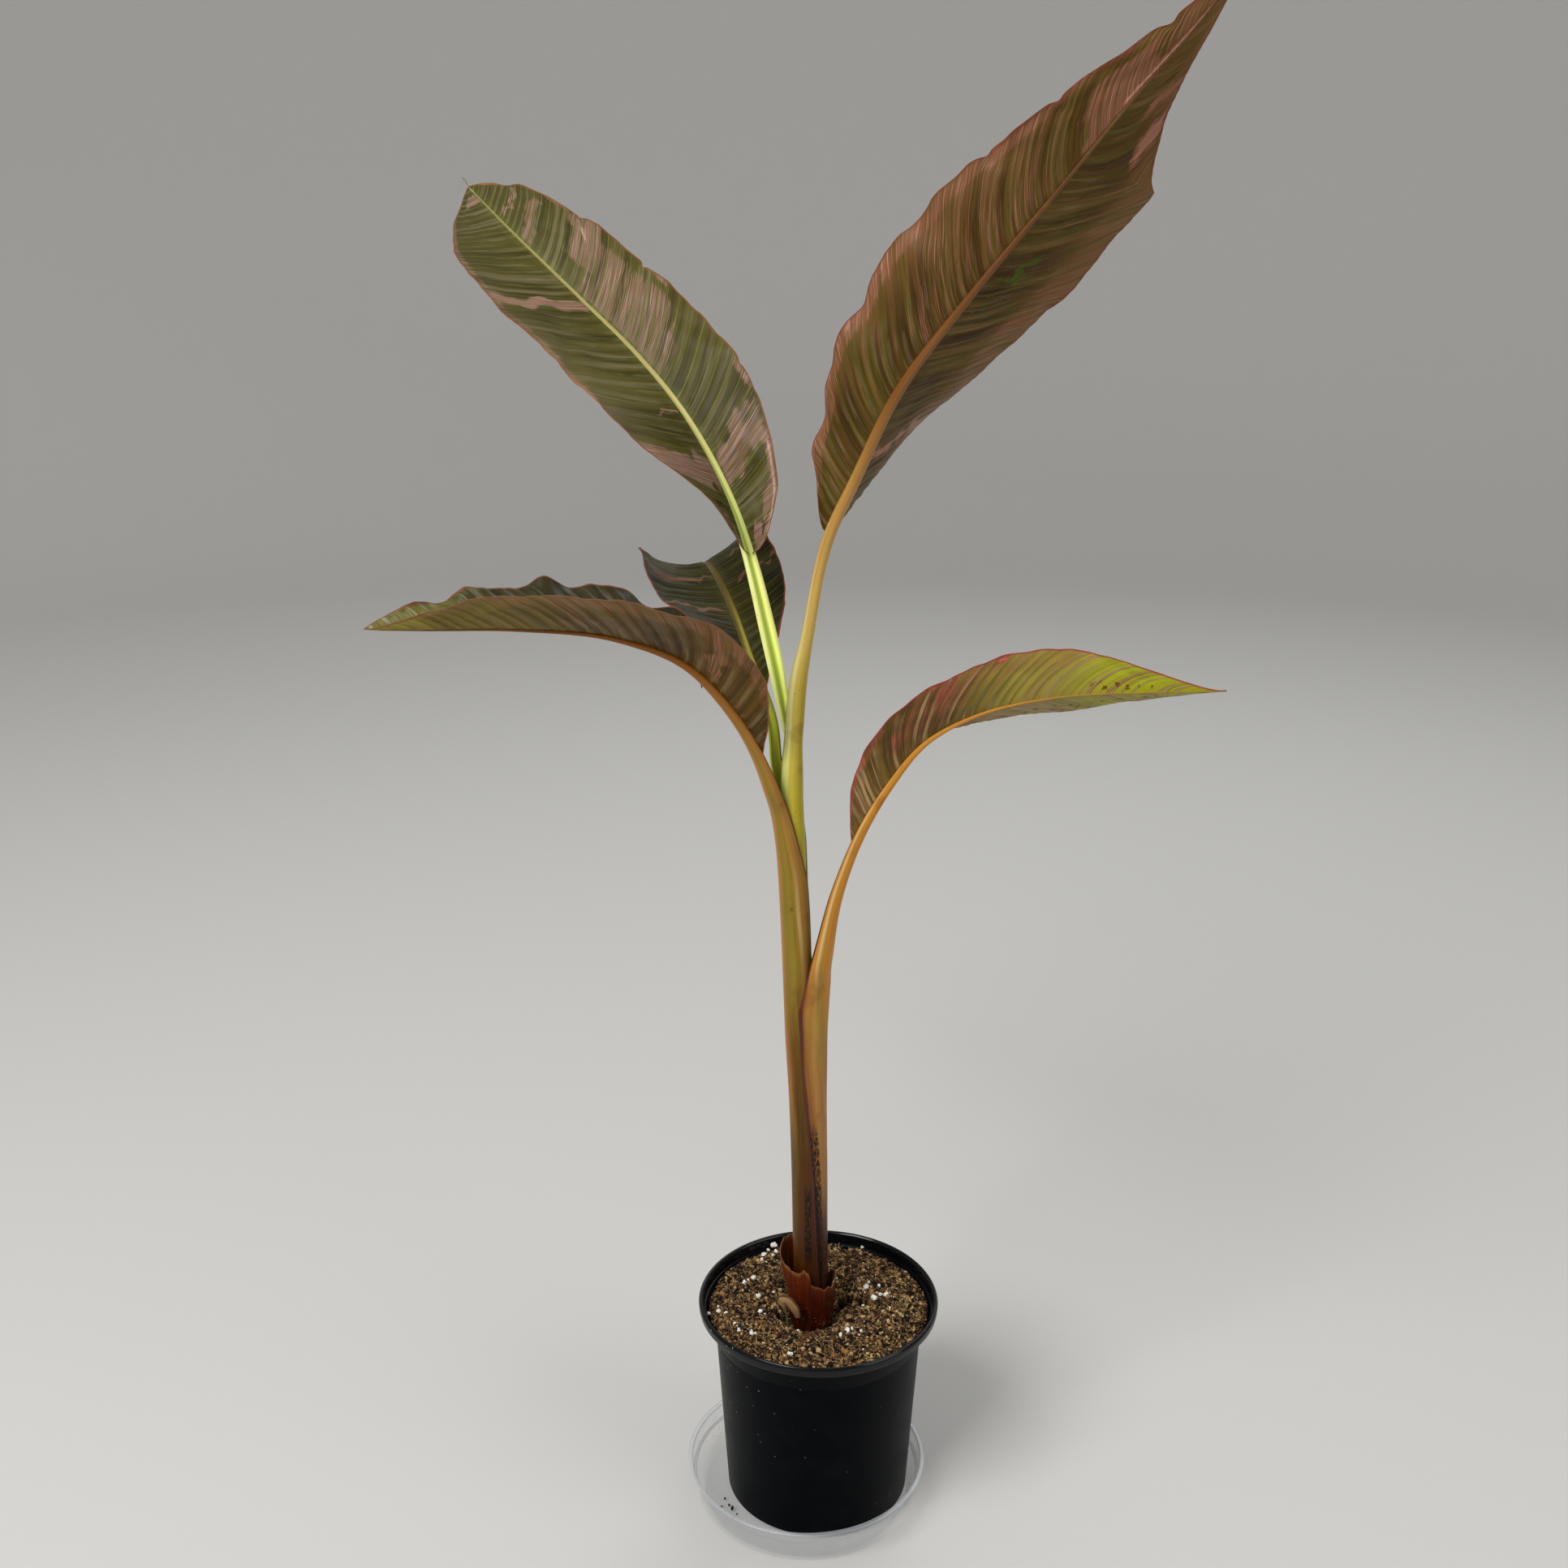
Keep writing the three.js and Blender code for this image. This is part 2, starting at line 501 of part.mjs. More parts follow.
const dish = add("saucer", turned(saucerProfile()), 0xe6eaec, 0.15, { transparent: true, opacity: 0.35 });
dish.position.set(saucer.x, saucer.y, 0);
add("pot", turned(potProfile()), 0x16181a, 0.5);
add("soil", turned(soilProfile()), 0x4a3524, 0.95);
add("stem", uprightSolid(stem.sections), 0x8a6a2c, 0.5);
add("sheath_inner", uprightSolid(innerRoll.sections, 16), 0x8f8a3c, 0.5);
for (const [side, { color, stations }] of Object.entries(oldSheaths))
  add("old_sheath_" + side, channelSolid(stations.map(sheathStation)), color, 0.4);
add("dry_strip", dryStripSolid(), 0xb89a6a, 0.8);

for (const [name, leaf] of Object.entries(leaves)) {
  const rib = ribOf(leaf);
  add("stalk_" + name, stalkSolid(leaf, rib), 0x9a8a3a, 0.5);
  leaf.parts.forEach((stretch, i) => {
    const suffix = leaf.parts.length > 1 ? "_" + (i + 1) : "";
    add("blade_" + name + suffix, bladeSolid(leaf, rib, stretch), leaf.color, 0.5);
  });
}

export default plant;
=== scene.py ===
# A young potted banana plant: five leaves on a rolled sheath stem, in a nursery pot on a clear saucer.
# Lengths in the settings are millimetres, and the meshes are made in metres. +X is to the right and
# +Y away, seen from the front, and the origin is on the ground under the pot.
import math

import bmesh
import bpy
import numpy as np
from mathutils import Euler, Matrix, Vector


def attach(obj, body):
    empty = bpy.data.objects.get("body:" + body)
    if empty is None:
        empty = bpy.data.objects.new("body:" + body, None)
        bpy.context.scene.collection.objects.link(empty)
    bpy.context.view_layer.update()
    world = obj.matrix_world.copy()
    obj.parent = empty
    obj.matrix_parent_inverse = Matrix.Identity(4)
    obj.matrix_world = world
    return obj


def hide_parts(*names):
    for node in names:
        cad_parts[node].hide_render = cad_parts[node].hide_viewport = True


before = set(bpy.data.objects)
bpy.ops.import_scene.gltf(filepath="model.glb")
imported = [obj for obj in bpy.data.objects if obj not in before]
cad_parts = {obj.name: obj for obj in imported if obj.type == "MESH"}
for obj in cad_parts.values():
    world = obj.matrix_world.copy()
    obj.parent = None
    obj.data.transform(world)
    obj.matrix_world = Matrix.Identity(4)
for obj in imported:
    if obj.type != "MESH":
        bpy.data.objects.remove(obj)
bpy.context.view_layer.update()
scene = bpy.context.scene
print("frame loaded")


# camera, floor and light

view = {"place": (-21.8, -937, 774.4), "pitchDown": 17.47, "lens": 39.13, "sensor": 36}

camera = bpy.data.objects.new("camera", bpy.data.cameras.new("camera"))
camera.data.lens = view["lens"]
camera.data.sensor_width = view["sensor"]
camera.data.clip_start = 0.01
camera.location = Vector(view["place"]) / 1000
camera.rotation_euler = (math.radians(90 - view["pitchDown"]), 0, 0)
scene.collection.objects.link(camera)
scene.camera = camera
scene.view_settings.view_transform = "Standard"


# shader expressions

class Flow:  # a node's output, so that sums and products on it add their own nodes
    def __init__(self, tree, socket):
        self.tree = tree
        self.socket = socket

    def node(self, kind, settings=None, inputs=None, output=0):  # any node, set up and linked
        made = self.tree.nodes.new(kind)
        for name, value in (settings or {}).items():
            if name == "stops":
                ramp = made.color_ramp
                while len(ramp.elements) < len(value):
                    ramp.elements.new(0.5)
                for element, (place, colour) in zip(ramp.elements, value):
                    element.position = place
                    element.color = (*colour, 1)
            else:
                setattr(made, name, value)
        for name, value in (inputs or {}).items():
            if isinstance(value, Flow):
                self.tree.links.new(value.socket, made.inputs[name])
            else:
                made.inputs[name].default_value = value
        return Flow(self.tree, made.outputs[output])

    def math(self, operation, *values):
        return self.node("ShaderNodeMath", {"operation": operation}, dict(enumerate(values)))

    def sum(self, operation, first, second):
        if self.socket.type == "VECTOR":
            return self.node("ShaderNodeVectorMath", {"operation": operation}, {0: first, 1: second})
        return self.math(operation, first, second)

    def __add__(self, other):
        return self.sum("ADD", self, other)

    def __radd__(self, other):
        return self.sum("ADD", other, self)

    def __sub__(self, other):
        return self.sum("SUBTRACT", self, other)

    def __rsub__(self, other):
        return self.sum("SUBTRACT", other, self)

    def __mul__(self, other):
        return self.sum("MULTIPLY", self, other)

    def __rmul__(self, other):
        return self.sum("MULTIPLY", other, self)

    def __truediv__(self, other):
        return self.sum("DIVIDE", self, other)

    def __rtruediv__(self, other):
        return self.sum("DIVIDE", other, self)

    def absolute(self):
        return self.math("ABSOLUTE", self)

    def above(self, low, high):  # 0 below low, 1 above high, smooth between
        return self.node("ShaderNodeMapRange", {"interpolation_type": "SMOOTHSTEP"},
                         {"Value": self, "From Min": low, "From Max": high})

    def between(self, low, high, rise, fall):  # 0 outside low and high, 1 from low + rise to high - fall
        return self.above(low, low + rise) * (1 - self.above(high - fall, high))

    def ramp(self, *stops):
        return self.node("ShaderNodeValToRGB", {"stops": stops}, {0: self})


class Paint:  # a material with one Principled shader
    def __init__(self, name, roughness, **constants):
        self.material = bpy.data.materials.new(name)
        self.material.use_nodes = True
        self.tree = self.material.node_tree
        self.shader = self.tree.nodes["Principled BSDF"]
        self.start = Flow(self.tree, None)  # for nodes that start from nothing
        self.colour = None  # the colour so far, which over() lays tones on
        self.set(Roughness=roughness, **constants)

    def set(self, **values):
        for name, value in values.items():
            socket = self.shader.inputs[name.replace("_", " ")]
            if isinstance(value, Flow):
                self.tree.links.new(value.socket, socket)
            else:
                socket.default_value = (*value, 1) if isinstance(value, tuple) else value

    def attribute(self, name):
        return self.start.node("ShaderNodeAttribute", {"attribute_name": name}, None, "Vector")

    def split(self, vector):
        parts = self.start.node("ShaderNodeSeparateXYZ", None, {0: vector}).socket.node.outputs
        return [Flow(self.tree, part) for part in parts]

    def join(self, x, y, z):
        return self.start.node("ShaderNodeCombineXYZ", None, {0: x, 1: y, 2: z})

    def place(self):
        return self.start.node("ShaderNodeTexCoord", None, None, "Object")

    def noise(self, vector, scale, detail, roughness=0.5):
        return self.start.node("ShaderNodeTexNoise", None, {
            "Vector": vector, "Scale": scale, "Detail": detail, "Roughness": roughness})

    def cells(self, vector, scale):  # how far each place is from the middle of its cell
        return self.start.node("ShaderNodeTexVoronoi", None, {"Vector": vector, "Scale": scale}, "Distance")

    def mix(self, first, second, factor):
        inputs = {0: factor}
        for number, value in ((6, first), (7, second)):
            inputs[number] = value if isinstance(value, Flow) else (*value, 1)
        return self.start.node("ShaderNodeMix", {"data_type": "RGBA"}, inputs, 2)

    def over(self, tone, share):
        self.colour = self.mix(self.colour, tone, share)

    def bump(self, height, distance, strength):
        self.set(Normal=self.start.node("ShaderNodeBump", None, {
            "Height": height, "Distance": distance, "Strength": strength}))


def rgb(red, green, blue):  # from screen values of 0 to 255
    return tuple((v / 255 / 12.92) if v <= 10 else ((v / 255 + 0.055) / 1.055) ** 2.4
                 for v in (red, green, blue))


# shapes

def smooth(x, low, high):  # 0 below low, 1 above high
    u = np.clip((np.asarray(x, float) - low) / (high - low), 0, 1)
    return u * u * (3 - 2 * u)


def wobble(x, seed):  # a smooth irregular curve between about -1 and 1, from five waves
    random = np.random.default_rng(seed)
    total = 0
    for k in range(5):
        often = 0.6 + 0.55 * k + 0.3 * random.random()
        shift = random.random() * 6.28
        total = total + np.sin(np.asarray(x, float) * often * 2 * math.pi + shift) / (1 + 0.5 * k)
    return total / 1.9


def hermite(places, values, at):  # a smooth curve through values, given at rising places
    slopes = np.diff(values, axis=0) / np.diff(places)[:, None]
    before, after = np.diff(places)[:-1, None], np.diff(places)[1:, None]
    middle = (before * slopes[1:] + after * slopes[:-1]) / (before + after)
    tangents = np.vstack([slopes[:1], middle, slopes[-1:]])
    k = np.clip(np.searchsorted(places, at, side="right") - 1, 0, len(places) - 2)
    span = (places[k + 1] - places[k])[:, None]
    u = ((at - places[k])[:, None]) / span
    return ((2 * u**3 - 3 * u**2 + 1) * values[k] + (u**3 - 2 * u**2 + u) * span * tangents[k]
            + (3 * u**2 - 2 * u**3) * values[k + 1] + (u**3 - u**2) * span * tangents[k + 1])


def along(stations, share):  # numbers or lists of numbers given at some shares of a length
    places = np.array([s[0] for s in stations], float)
    values = np.array([s[1] for s in stations], float)
    flat = values.ndim == 1
    at = np.clip(np.atleast_1d(np.asarray(share, float)).ravel(), places[0], places[-1])
    found = hermite(places, values[:, None] if flat else values, at)
    shape = np.shape(share)
    return found.reshape(shape) if flat else found.reshape(shape + (values.shape[1],))


def runOf(points):  # the length of a line up to each of its points
    return np.r_[0, np.cumsum(np.linalg.norm(np.diff(points, axis=0), axis=1))]


def unit(vectors):
    return vectors / np.linalg.norm(vectors, axis=-1, keepdims=True)


# the points are in millimetres, the attributes one row for a point, and sharp is an angle in degrees
def meshPiece(name, points, faces, materials, attributes=None, faceMaterials=None, sharp=48):
    mesh = bpy.data.meshes.new(name)
    mesh.from_pydata((np.asarray(points) / 1000).tolist(), [], [list(f) for f in faces])
    for material in materials:
        mesh.materials.append(material)
    if faceMaterials is not None:
        mesh.polygons.foreach_set("material_index", np.asarray(faceMaterials, np.int32))
    for key, values in (attributes or {}).items():
        layer = mesh.attributes.new(key, "FLOAT_VECTOR", "POINT")
        layer.data.foreach_set("vector", np.asarray(values, np.float32).ravel())
    mesh.shade_smooth()
    if sharp:
        mesh.set_sharp_from_angle(angle=math.radians(sharp))
    mesh.update()
    piece = bpy.data.objects.new(name, mesh)
    scene.collection.objects.link(piece)
    return piece


def gridFaces(rows, columns, start=0, closed=False):
    r, c = np.meshgrid(np.arange(rows - 1), np.arange(columns if closed else columns - 1), indexing="ij")
    r, c = r.ravel(), c.ravel()
    n = (c + 1) % columns
    lower, upper = start + r * columns, start + (r + 1) * columns
    return np.stack([lower + c, lower + n, upper + n, upper + c], 1)


def shellFaces(rows, columns):  # between two grids of rows by columns, one after the other
    front = gridFaces(rows, columns)
    back = gridFaces(rows, columns, rows * columns)[:, ::-1]
    rim = [r * columns for r in range(rows)]
    rim += [(rows - 1) * columns + c for c in range(1, columns)]
    rim += [r * columns + columns - 1 for r in range(rows - 2, -1, -1)]
    rim += list(range(columns - 2, 0, -1))
    rim = np.array(rim)
    after = np.roll(rim, -1)
    edge = np.stack([rim, after, after + rows * columns, rim + rows * columns], 1)
    return front, back, edge


def ride(piece, slotName, *nodes):  # nothing on the plant moves, so every piece is on the root body
    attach(piece, "root")
    if nodes:
        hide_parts(*nodes)


# leaves: the rib, its stalk and sheath, and the two halves of the blade

class Rib:  # point, direction, upper side and right-hand side anywhere on a leaf's rib
    def __init__(self, leaf):
        points = np.array(leaf["rib"], float)
        fineSteps, steps = 900, 500
        chords = runOf(points)
        fine = hermite(chords, points, np.linspace(0, chords[-1], fineSteps))
        run = runOf(fine)
        self.length = run[-1]
        self.shares = np.linspace(0, 1, steps)
        self.points = np.stack([np.interp(self.shares * run[-1], run, fine[:, i]) for i in range(3)], 1)
        self.tangents = unit(np.gradient(self.points, axis=0))
        up = along(leaf["face"], self.shares)
        self.normals = unit(up - (up * self.tangents).sum(1)[:, None] * self.tangents)
        self.sides = np.cross(self.tangents, self.normals)

    def at(self, share):
        inside = np.clip(share, 0, 1)
        found = [np.stack([np.interp(inside, self.shares, a[:, i]) for i in range(3)], -1)
                 for a in (self.points, self.tangents, self.normals, self.sides)]
        found[0] = found[0] + ((share - inside) * self.length)[..., None] * found[1]
        return found


def halfWidth(outline, v):  # rises from the base to the widest, and narrows to a point at the tip
    widest, base, narrowsFrom, power, pointed, blunt = outline
    rise = np.clip(1 - (1 - np.clip(v / base, 0, 1)) ** 2, 0, 1) ** blunt
    u = np.clip((v - narrowsFrom) / (1 - narrowsFrom), 0, 1)
    return widest * rise * (1 - u**power) ** pointed


blade = {
    "thickness": 0.55, "rowStep": 1.15, "columns": 30, "ends": (0.0005, 0.997), "crowding": 0.9,
    "foldAt": (0, 0.3, 0.7, 1),  # the shares of the length where a leaf gives its fold
    "curl": [(0, 10), (0.5, 10), (1, 10)],  # where a leaf gives none of its own
    "ragged": 0.012, "heave": 0.8, "rimThinner": 0.45,
}


def bladeHalf(leaf, rib, sign):
    side = "Right" if sign > 0 else "Left"
    seed, pleat = leaf["seed"], leaf["pleat"]
    length = rib.length * (1 - leaf["bladeFrom"])
    rows = int(length / blade["rowStep"])
    v = np.linspace(*blade["ends"], rows)[:, None]
    t = (np.linspace(0, 1, blade["columns"]) ** blade["crowding"])[None, :]
    share = v + leaf["lean"] * 4 * v * (1 - v) * t**1.25  # the veins slant towards the tip
    v, t = np.broadcast_arrays(v, t)
    onRib = leaf["bladeFrom"] + share * (1 - leaf["bladeFrom"])
    point, _, normal, sideways = rib.at(onRib)
    channel, _, lip = np.moveaxis(along(leaf["stalk"], onRib), -1, 0)[:3]
    full = np.maximum(halfWidth(leaf["outline" + side], share), 0.4)
    full = full * (1 + blade["ragged"] * wobble(share * 9, seed + sign) * smooth(t, 0.5, 1))
    for place, depth, wide in leaf.get("nicks" + side, []):
        full = full - depth * np.exp(-(((share - place) / wide) ** 2)) * smooth(t, 0.4, 1)

    # across the half: it leaves the rib at the fold's angle and curls on from there
    offset = np.minimum(channel + 0.45 * lip, 0.45 * full)
    distance = (full - offset) * t
    foldAt = np.radians(along(list(zip(blade["foldAt"], leaf["fold" + side])), share))
    curlAt = np.radians(along(leaf.get("curl" + side, blade["curl"]), share)) * t
    curlAt = np.where(np.abs(curlAt) < 1e-3, 1e-3, curlAt)
    out = offset + distance * (np.sin(foldAt + curlAt) - np.sin(foldAt)) / curlAt
    up = distance * (np.cos(foldAt) - np.cos(foldAt + curlAt)) / curlAt
    lean = foldAt + curlAt

    # pleats between the veins, waves of the margin and a slow heave
    veinMm = v * length
    phase = veinMm / pleat["step"] + 0.25 * wobble(v * 6, seed + 3 + sign)
    calmFrom = pleat.get("calmFrom", 1.0)
    fade = smooth(t, 0.0, 0.12) * (1 - 0.75 * smooth(t, pleat.get("fadeFrom", 0.55), 1)) * smooth(full, 4, 16)
    fade = fade * (1 - 0.75 * smooth(v, calmFrom, calmFrom + 0.3))
    lift = pleat["height"] * np.sin(2 * math.pi * phase) * fade
    wideEnough = smooth(full, 5, 22)
    for height, count, shift in leaf.get("waves" + side, []):
        lift = lift + height * np.sin(2 * math.pi * (count * share + shift)) * t**2.2 * wideEnough
    lift = lift + blade["heave"] * wobble(share * 4 + t, seed + 7 + sign) * t * wideEnough
    out = out - lift * np.sin(lean)
    up = up + lift * np.cos(lean)

    place = point + sign * out[..., None] * sideways + up[..., None] * normal
    upward = normal * np.cos(lean)[..., None] - sign * sideways * np.sin(lean)[..., None]
    thin = (blade["thickness"] * (1 - blade["rimThinner"] * smooth(t, 0.8, 1)))[..., None]
    points = [(place + half * thin * upward).reshape(-1, 3) for half in (0.5, -0.5)]
    blush = bandStrength(leaf["bands"], sign, v, t, seed)
    places = {
        "veinPlace": np.stack([veinMm, distance, phase], -1),
        "veinTone": np.stack([blush, full - offset - distance, np.full_like(v, sign)], -1),
        "bladePlace": np.stack([v, t, share], -1),
    }
    upper, under, edge = shellFaces(rows, blade["columns"])
    faces = np.vstack([upper, under, edge])
    kinds = np.repeat([0, 1], [len(upper), len(under) + len(edge)])
    return np.vstack(points), faces if sign > 0 else faces[:, ::-1], kinds, {
        key: np.vstack([values.reshape(-1, 3)] * 2) for key, values in places.items()}


def bandStrength(bands, sign, v, t, seed):  # how far each place is taken over by variegation
    total = np.zeros_like(v)
    for number, (half, start, end, inner, outer, strength) in enumerate(bands):
        if half != sign:
            continue
        shift = 0.012 * wobble(t * 2, seed + number)
        soft = 0.12 * (end - start) + 0.004
        ends = smooth(v + shift, start - soft, start + soft) * (1 - smooth(v + shift, end - soft, end + soft))
        across = smooth(t, inner - 0.06, inner + 0.06) * (1 - smooth(t, outer - 0.08, outer + 0.08))
        total = np.maximum(total, strength * ends * across)
    return total


def bladePiece(name, leaf, rib, materials):
    points, faces, kinds, places = zip(*[bladeHalf(leaf, rib, sign) for sign in (-1, 1)])
    faces = np.vstack([faces[0], faces[1] + len(points[0])])
    places = {key: np.vstack([half[key] for half in places]) for key in places[0]}
    kinds = np.concatenate(kinds)
    return meshPiece("blade_" + name, np.vstack(points), faces, materials, places, kinds, sharp=60)


stalk = {"rowStep": 2.0, "below": 12, "beyond": 22, "slimFrom": 0.96, "slimBy": 0.6}
edgeTaper = np.array([0.25, 0.62, 0.88] + [1.0] * 23 + [0.88, 0.62, 0.25])  # thinner at both edges
turns = np.linspace(-0.5, 0.5, len(edgeTaper))


def channelStation(back, normal, side, section):  # an outer and an inner arc, with their backs at one point
    channel, thick, lip, wrap = section
    middle = back + normal * (channel + thick)
    angle = np.radians(wrap) * turns
    radius = channel + (lip + (thick - lip) * np.cos(math.pi * turns)) * edgeTaper
    return [middle + side * (r * np.sin(angle))[:, None] - normal * (r * np.cos(angle))[:, None]
            for r in (radius, np.full(len(angle), channel))]


def ovalStation(height, middle, half, fromAngle, toAngle, thick):  # one level row of a rolled sheath
    angle = np.radians(np.linspace(fromAngle, toAngle, len(edgeTaper)))
    arcs = []
    for inset in (thick * (1 - edgeTaper), thick):
        x = middle[0] + (half[0] - inset) * np.cos(angle)
        y = middle[1] + (half[1] - inset) * np.sin(angle)
        arcs.append(np.stack([x, y, np.full(len(angle), float(height))], 1))
    return arcs


def stalkPiece(name, leaf, rib, materials, roll):
    stations = [ovalStation(*row) for row in roll]
    for back, section, faces in leaf.get("sheath", []):
        turn = math.radians(faces)
        normal = np.array([math.cos(turn), math.sin(turn), 0])
        side = np.array([-math.sin(turn), math.cos(turn), 0])
        stations.append(channelStation(np.array(back, float), normal, side, section))
    first = leaf.get("sheathUpTo", 0)
    spaced = np.r_[np.linspace(first, leaf["bladeFrom"], stalk["below"]),
                   np.linspace(leaf["bladeFrom"] + 0.03, 1, stalk["beyond"])]
    point, _, normal, side = rib.at(spaced)
    for k, share in enumerate(spaced):
        section = along(leaf["stalk"], share)
        section[:3] = section[:3] * (1 - stalk["slimBy"] * smooth(share, stalk["slimFrom"], 1))
        back = point[k] - normal[k] * (section[0] + section[1])
        stations.append(channelStation(back, normal[k], side[k], section))
    both = np.array(stations)
    count = both.shape[0]
    middles = both.mean(axis=(1, 2))
    run = runOf(middles)
    rows = int(run[-1] / stalk["rowStep"])
    at = np.linspace(0, run[-1], rows)
    fine = hermite(run, both.reshape(count, -1), at).reshape(rows, 2, len(edgeTaper), 3)
    front, back, edge = shellFaces(rows, len(edgeTaper))
    lengthwise, around = np.broadcast_arrays(at[:, None], turns[None, :] * 2)
    place = np.stack([lengthwise, around, lengthwise / run[-1]], -1).reshape(-1, 3)
    points = np.vstack([fine[:, 1].reshape(-1, 3), fine[:, 0].reshape(-1, 3)])
    kinds = np.repeat([0, 1], [len(front), len(back) + len(edge)])
    return meshPiece("stalk_" + name, points, np.vstack([front, back, edge]), materials,
                     {"stalkPlace": np.vstack([place, place])}, kinds, sharp=70)


def leafPieces(name, leaf, bladePaints, stalkPaints, stalkSlot, bladeNodes, stalkNodes, roll=()):
    rib = Rib(leaf)
    ride(bladePiece(name, leaf, rib, bladePaints), "blade_" + name, *bladeNodes)
    ride(stalkPiece(name, leaf, rib, stalkPaints, roll), stalkSlot, *stalkNodes)
    print(name.replace("_", " ") + " leaf")


# finishes of blades and stalks

# What a look has where it says nothing else. Tones along a blade have a start, an end and a strength, those
# in streams the noise they start and end at and a strength, and patches a start and an end along the blade,
# an inner and an outer share across it, how fine they are, and the half they are on.
# In a leaf's look, one pale tone and its share give painted highlights on the pleats, and the groove share
# gives painted shade in the grooves between the veins.
plainLeaf = {
    "roughness": 0.45, "specular": 0.12, "outerFrom": 20, "outerShare": 0.5, "streakShare": 0.35,
    "veinReach": 40, "veinShare": 0.3, "gleamShare": 0.3, "grooveShare": 0.35, "ridgeBump": 0.3,
    "streams": [], "along": [], "patches": [],
}
# Tones at a stalk's sides have a middle and a width round it, a strength, and a start and an end along it.
# Those at its foot fade out between two heights, and stains have two heights, two places round it and
# a strength.
plainStalk = {
    "roughness": 0.32, "specular": 0.2, "lightShare": 0.5, "darkShare": 0.4, "fineShare": 0.3,
    "grooveShare": 0.8, "edgeFrom": 0.9, "sides": [], "foot": [], "stains": [],
}


def leafPaint(name, look):
    look = plainLeaf | look
    paint = Paint(name, look["roughness"], Specular_IOR_Level=look["specular"])
    veinMm, reach, phase = paint.split(paint.attribute("veinPlace"))  # along the rib, out from it, in pleats
    blush, edge, half = paint.split(paint.attribute("veinTone"))  # variegation, margin's distance, side
    share, across, slanted = paint.split(paint.attribute("bladePlace"))

    def grain(alongRib, outward, seed, detail, roughness=0.5):  # noise drawn out from the rib to the margin
        return paint.noise(paint.join(veinMm * alongRib, reach * outward, seed), 1, detail, roughness)

    fine = grain(1.5, 0.03, half * 7, 4, 0.6)
    thread = grain(2.6, 0.045, half * 3, 2)
    broad = grain(0.13, 0.014, half * 5, 2)
    patchy = grain(0.16, 0.06, half * 9, 2)
    cloud = paint.noise(paint.place(), 14, 3)
    ridge = ((phase.math("FRACT", phase) - 0.5) * 2).absolute()

    # the green or brown of the blade, with streaks and streams along the veins, and painted highlights on the
    # pleats
    paint.colour = paint.mix(look["deep"], look["base"], (broad * 0.6 + cloud * 0.4).above(0.38, 0.6))
    paint.over(look["outer"], reach.above(look["outerFrom"], look["outerFrom"] + 30) * look["outerShare"])
    paint.over(look["streak"], fine.above(0.5, 0.72) * look["streakShare"])
    for tone, start, end, strength in look["along"]:
        paint.over(tone, slanted.above(start, end) * (0.55 + 0.9 * (broad - 0.25)) * strength)
    for tone, low, high, strength in look["streams"]:
        paint.over(tone, grain(0.22, 0.012, half * 3 + low, 3, 0.55).above(low, high) * strength)
    # painted highlights: a pale tone on the pleats near the rib, where light would glint off them
    gleam = ridge.above(0.5, 0.95) * patchy.above(0.42, 0.6) * (1 - reach.above(14, 34))
    paint.over(look["gleam"], gleam * look["gleamShare"])
    paint.over(look["vein"], (1 - reach.above(0.5, 5)) * 0.12)

    # pink variegation with frayed ends, and its clearest parts
    taken = (blush + (thread - 0.5) * 1.9 + (broad - 0.5) * 0.5).above(0.4, 0.66)
    paint.over(paint.mix(look["blush"], look["blushLight"], fine.above(0.45, 0.75)), taken * 0.85)
    paint.over(look["blushLight"], blush.above(0.86, 0.98) * 0.8)

    # veins, painted shade in the grooves between them, and the margin
    line = ridge.above(0.91, 0.98) * (1 - reach.above(look["veinReach"], look["veinReach"] + 22))
    paint.over(look["vein"], line * look["veinShare"] * (0.65 + 0.35 * half))
    # painted shade: the deep tone laid in the grooves between the pleats' veins
    paint.over(look["deep"], (1 - ridge.above(0.04, 0.16)) * look["grooveShare"])
    paint.over(look["edge"], (1 - (edge / (0.7 + 1.6 * (cloud - 0.35))).above(0.6, 1.3)) * 0.85)
    paint.over(look.get("dry", look["edge"]), (1 - edge.above(1.0, 3.0)) * cloud.above(0.56, 0.66) * 0.8)

    for tone, start, end, inner, outer, scale, side in look["patches"]:
        where = share.between(start, end, 0.03, 0.03) * across.between(inner, outer, 0.06, 0.06)
        spots = paint.noise(paint.place(), scale, 3, 0.6).above(0.57, 0.61)
        paint.over(tone, spots * where * (half * side).above(-0.5, 0.5) * 0.85)
    paint.set(Base_Color=paint.colour, Roughness=look["roughness"] + (fine - 0.5) * 0.25 - taken * 0.05)
    paint.bump(fine * 0.5 + line * 0.5 + ridge * look["ridgeBump"], 0.0004, 0.6)
    return paint.material


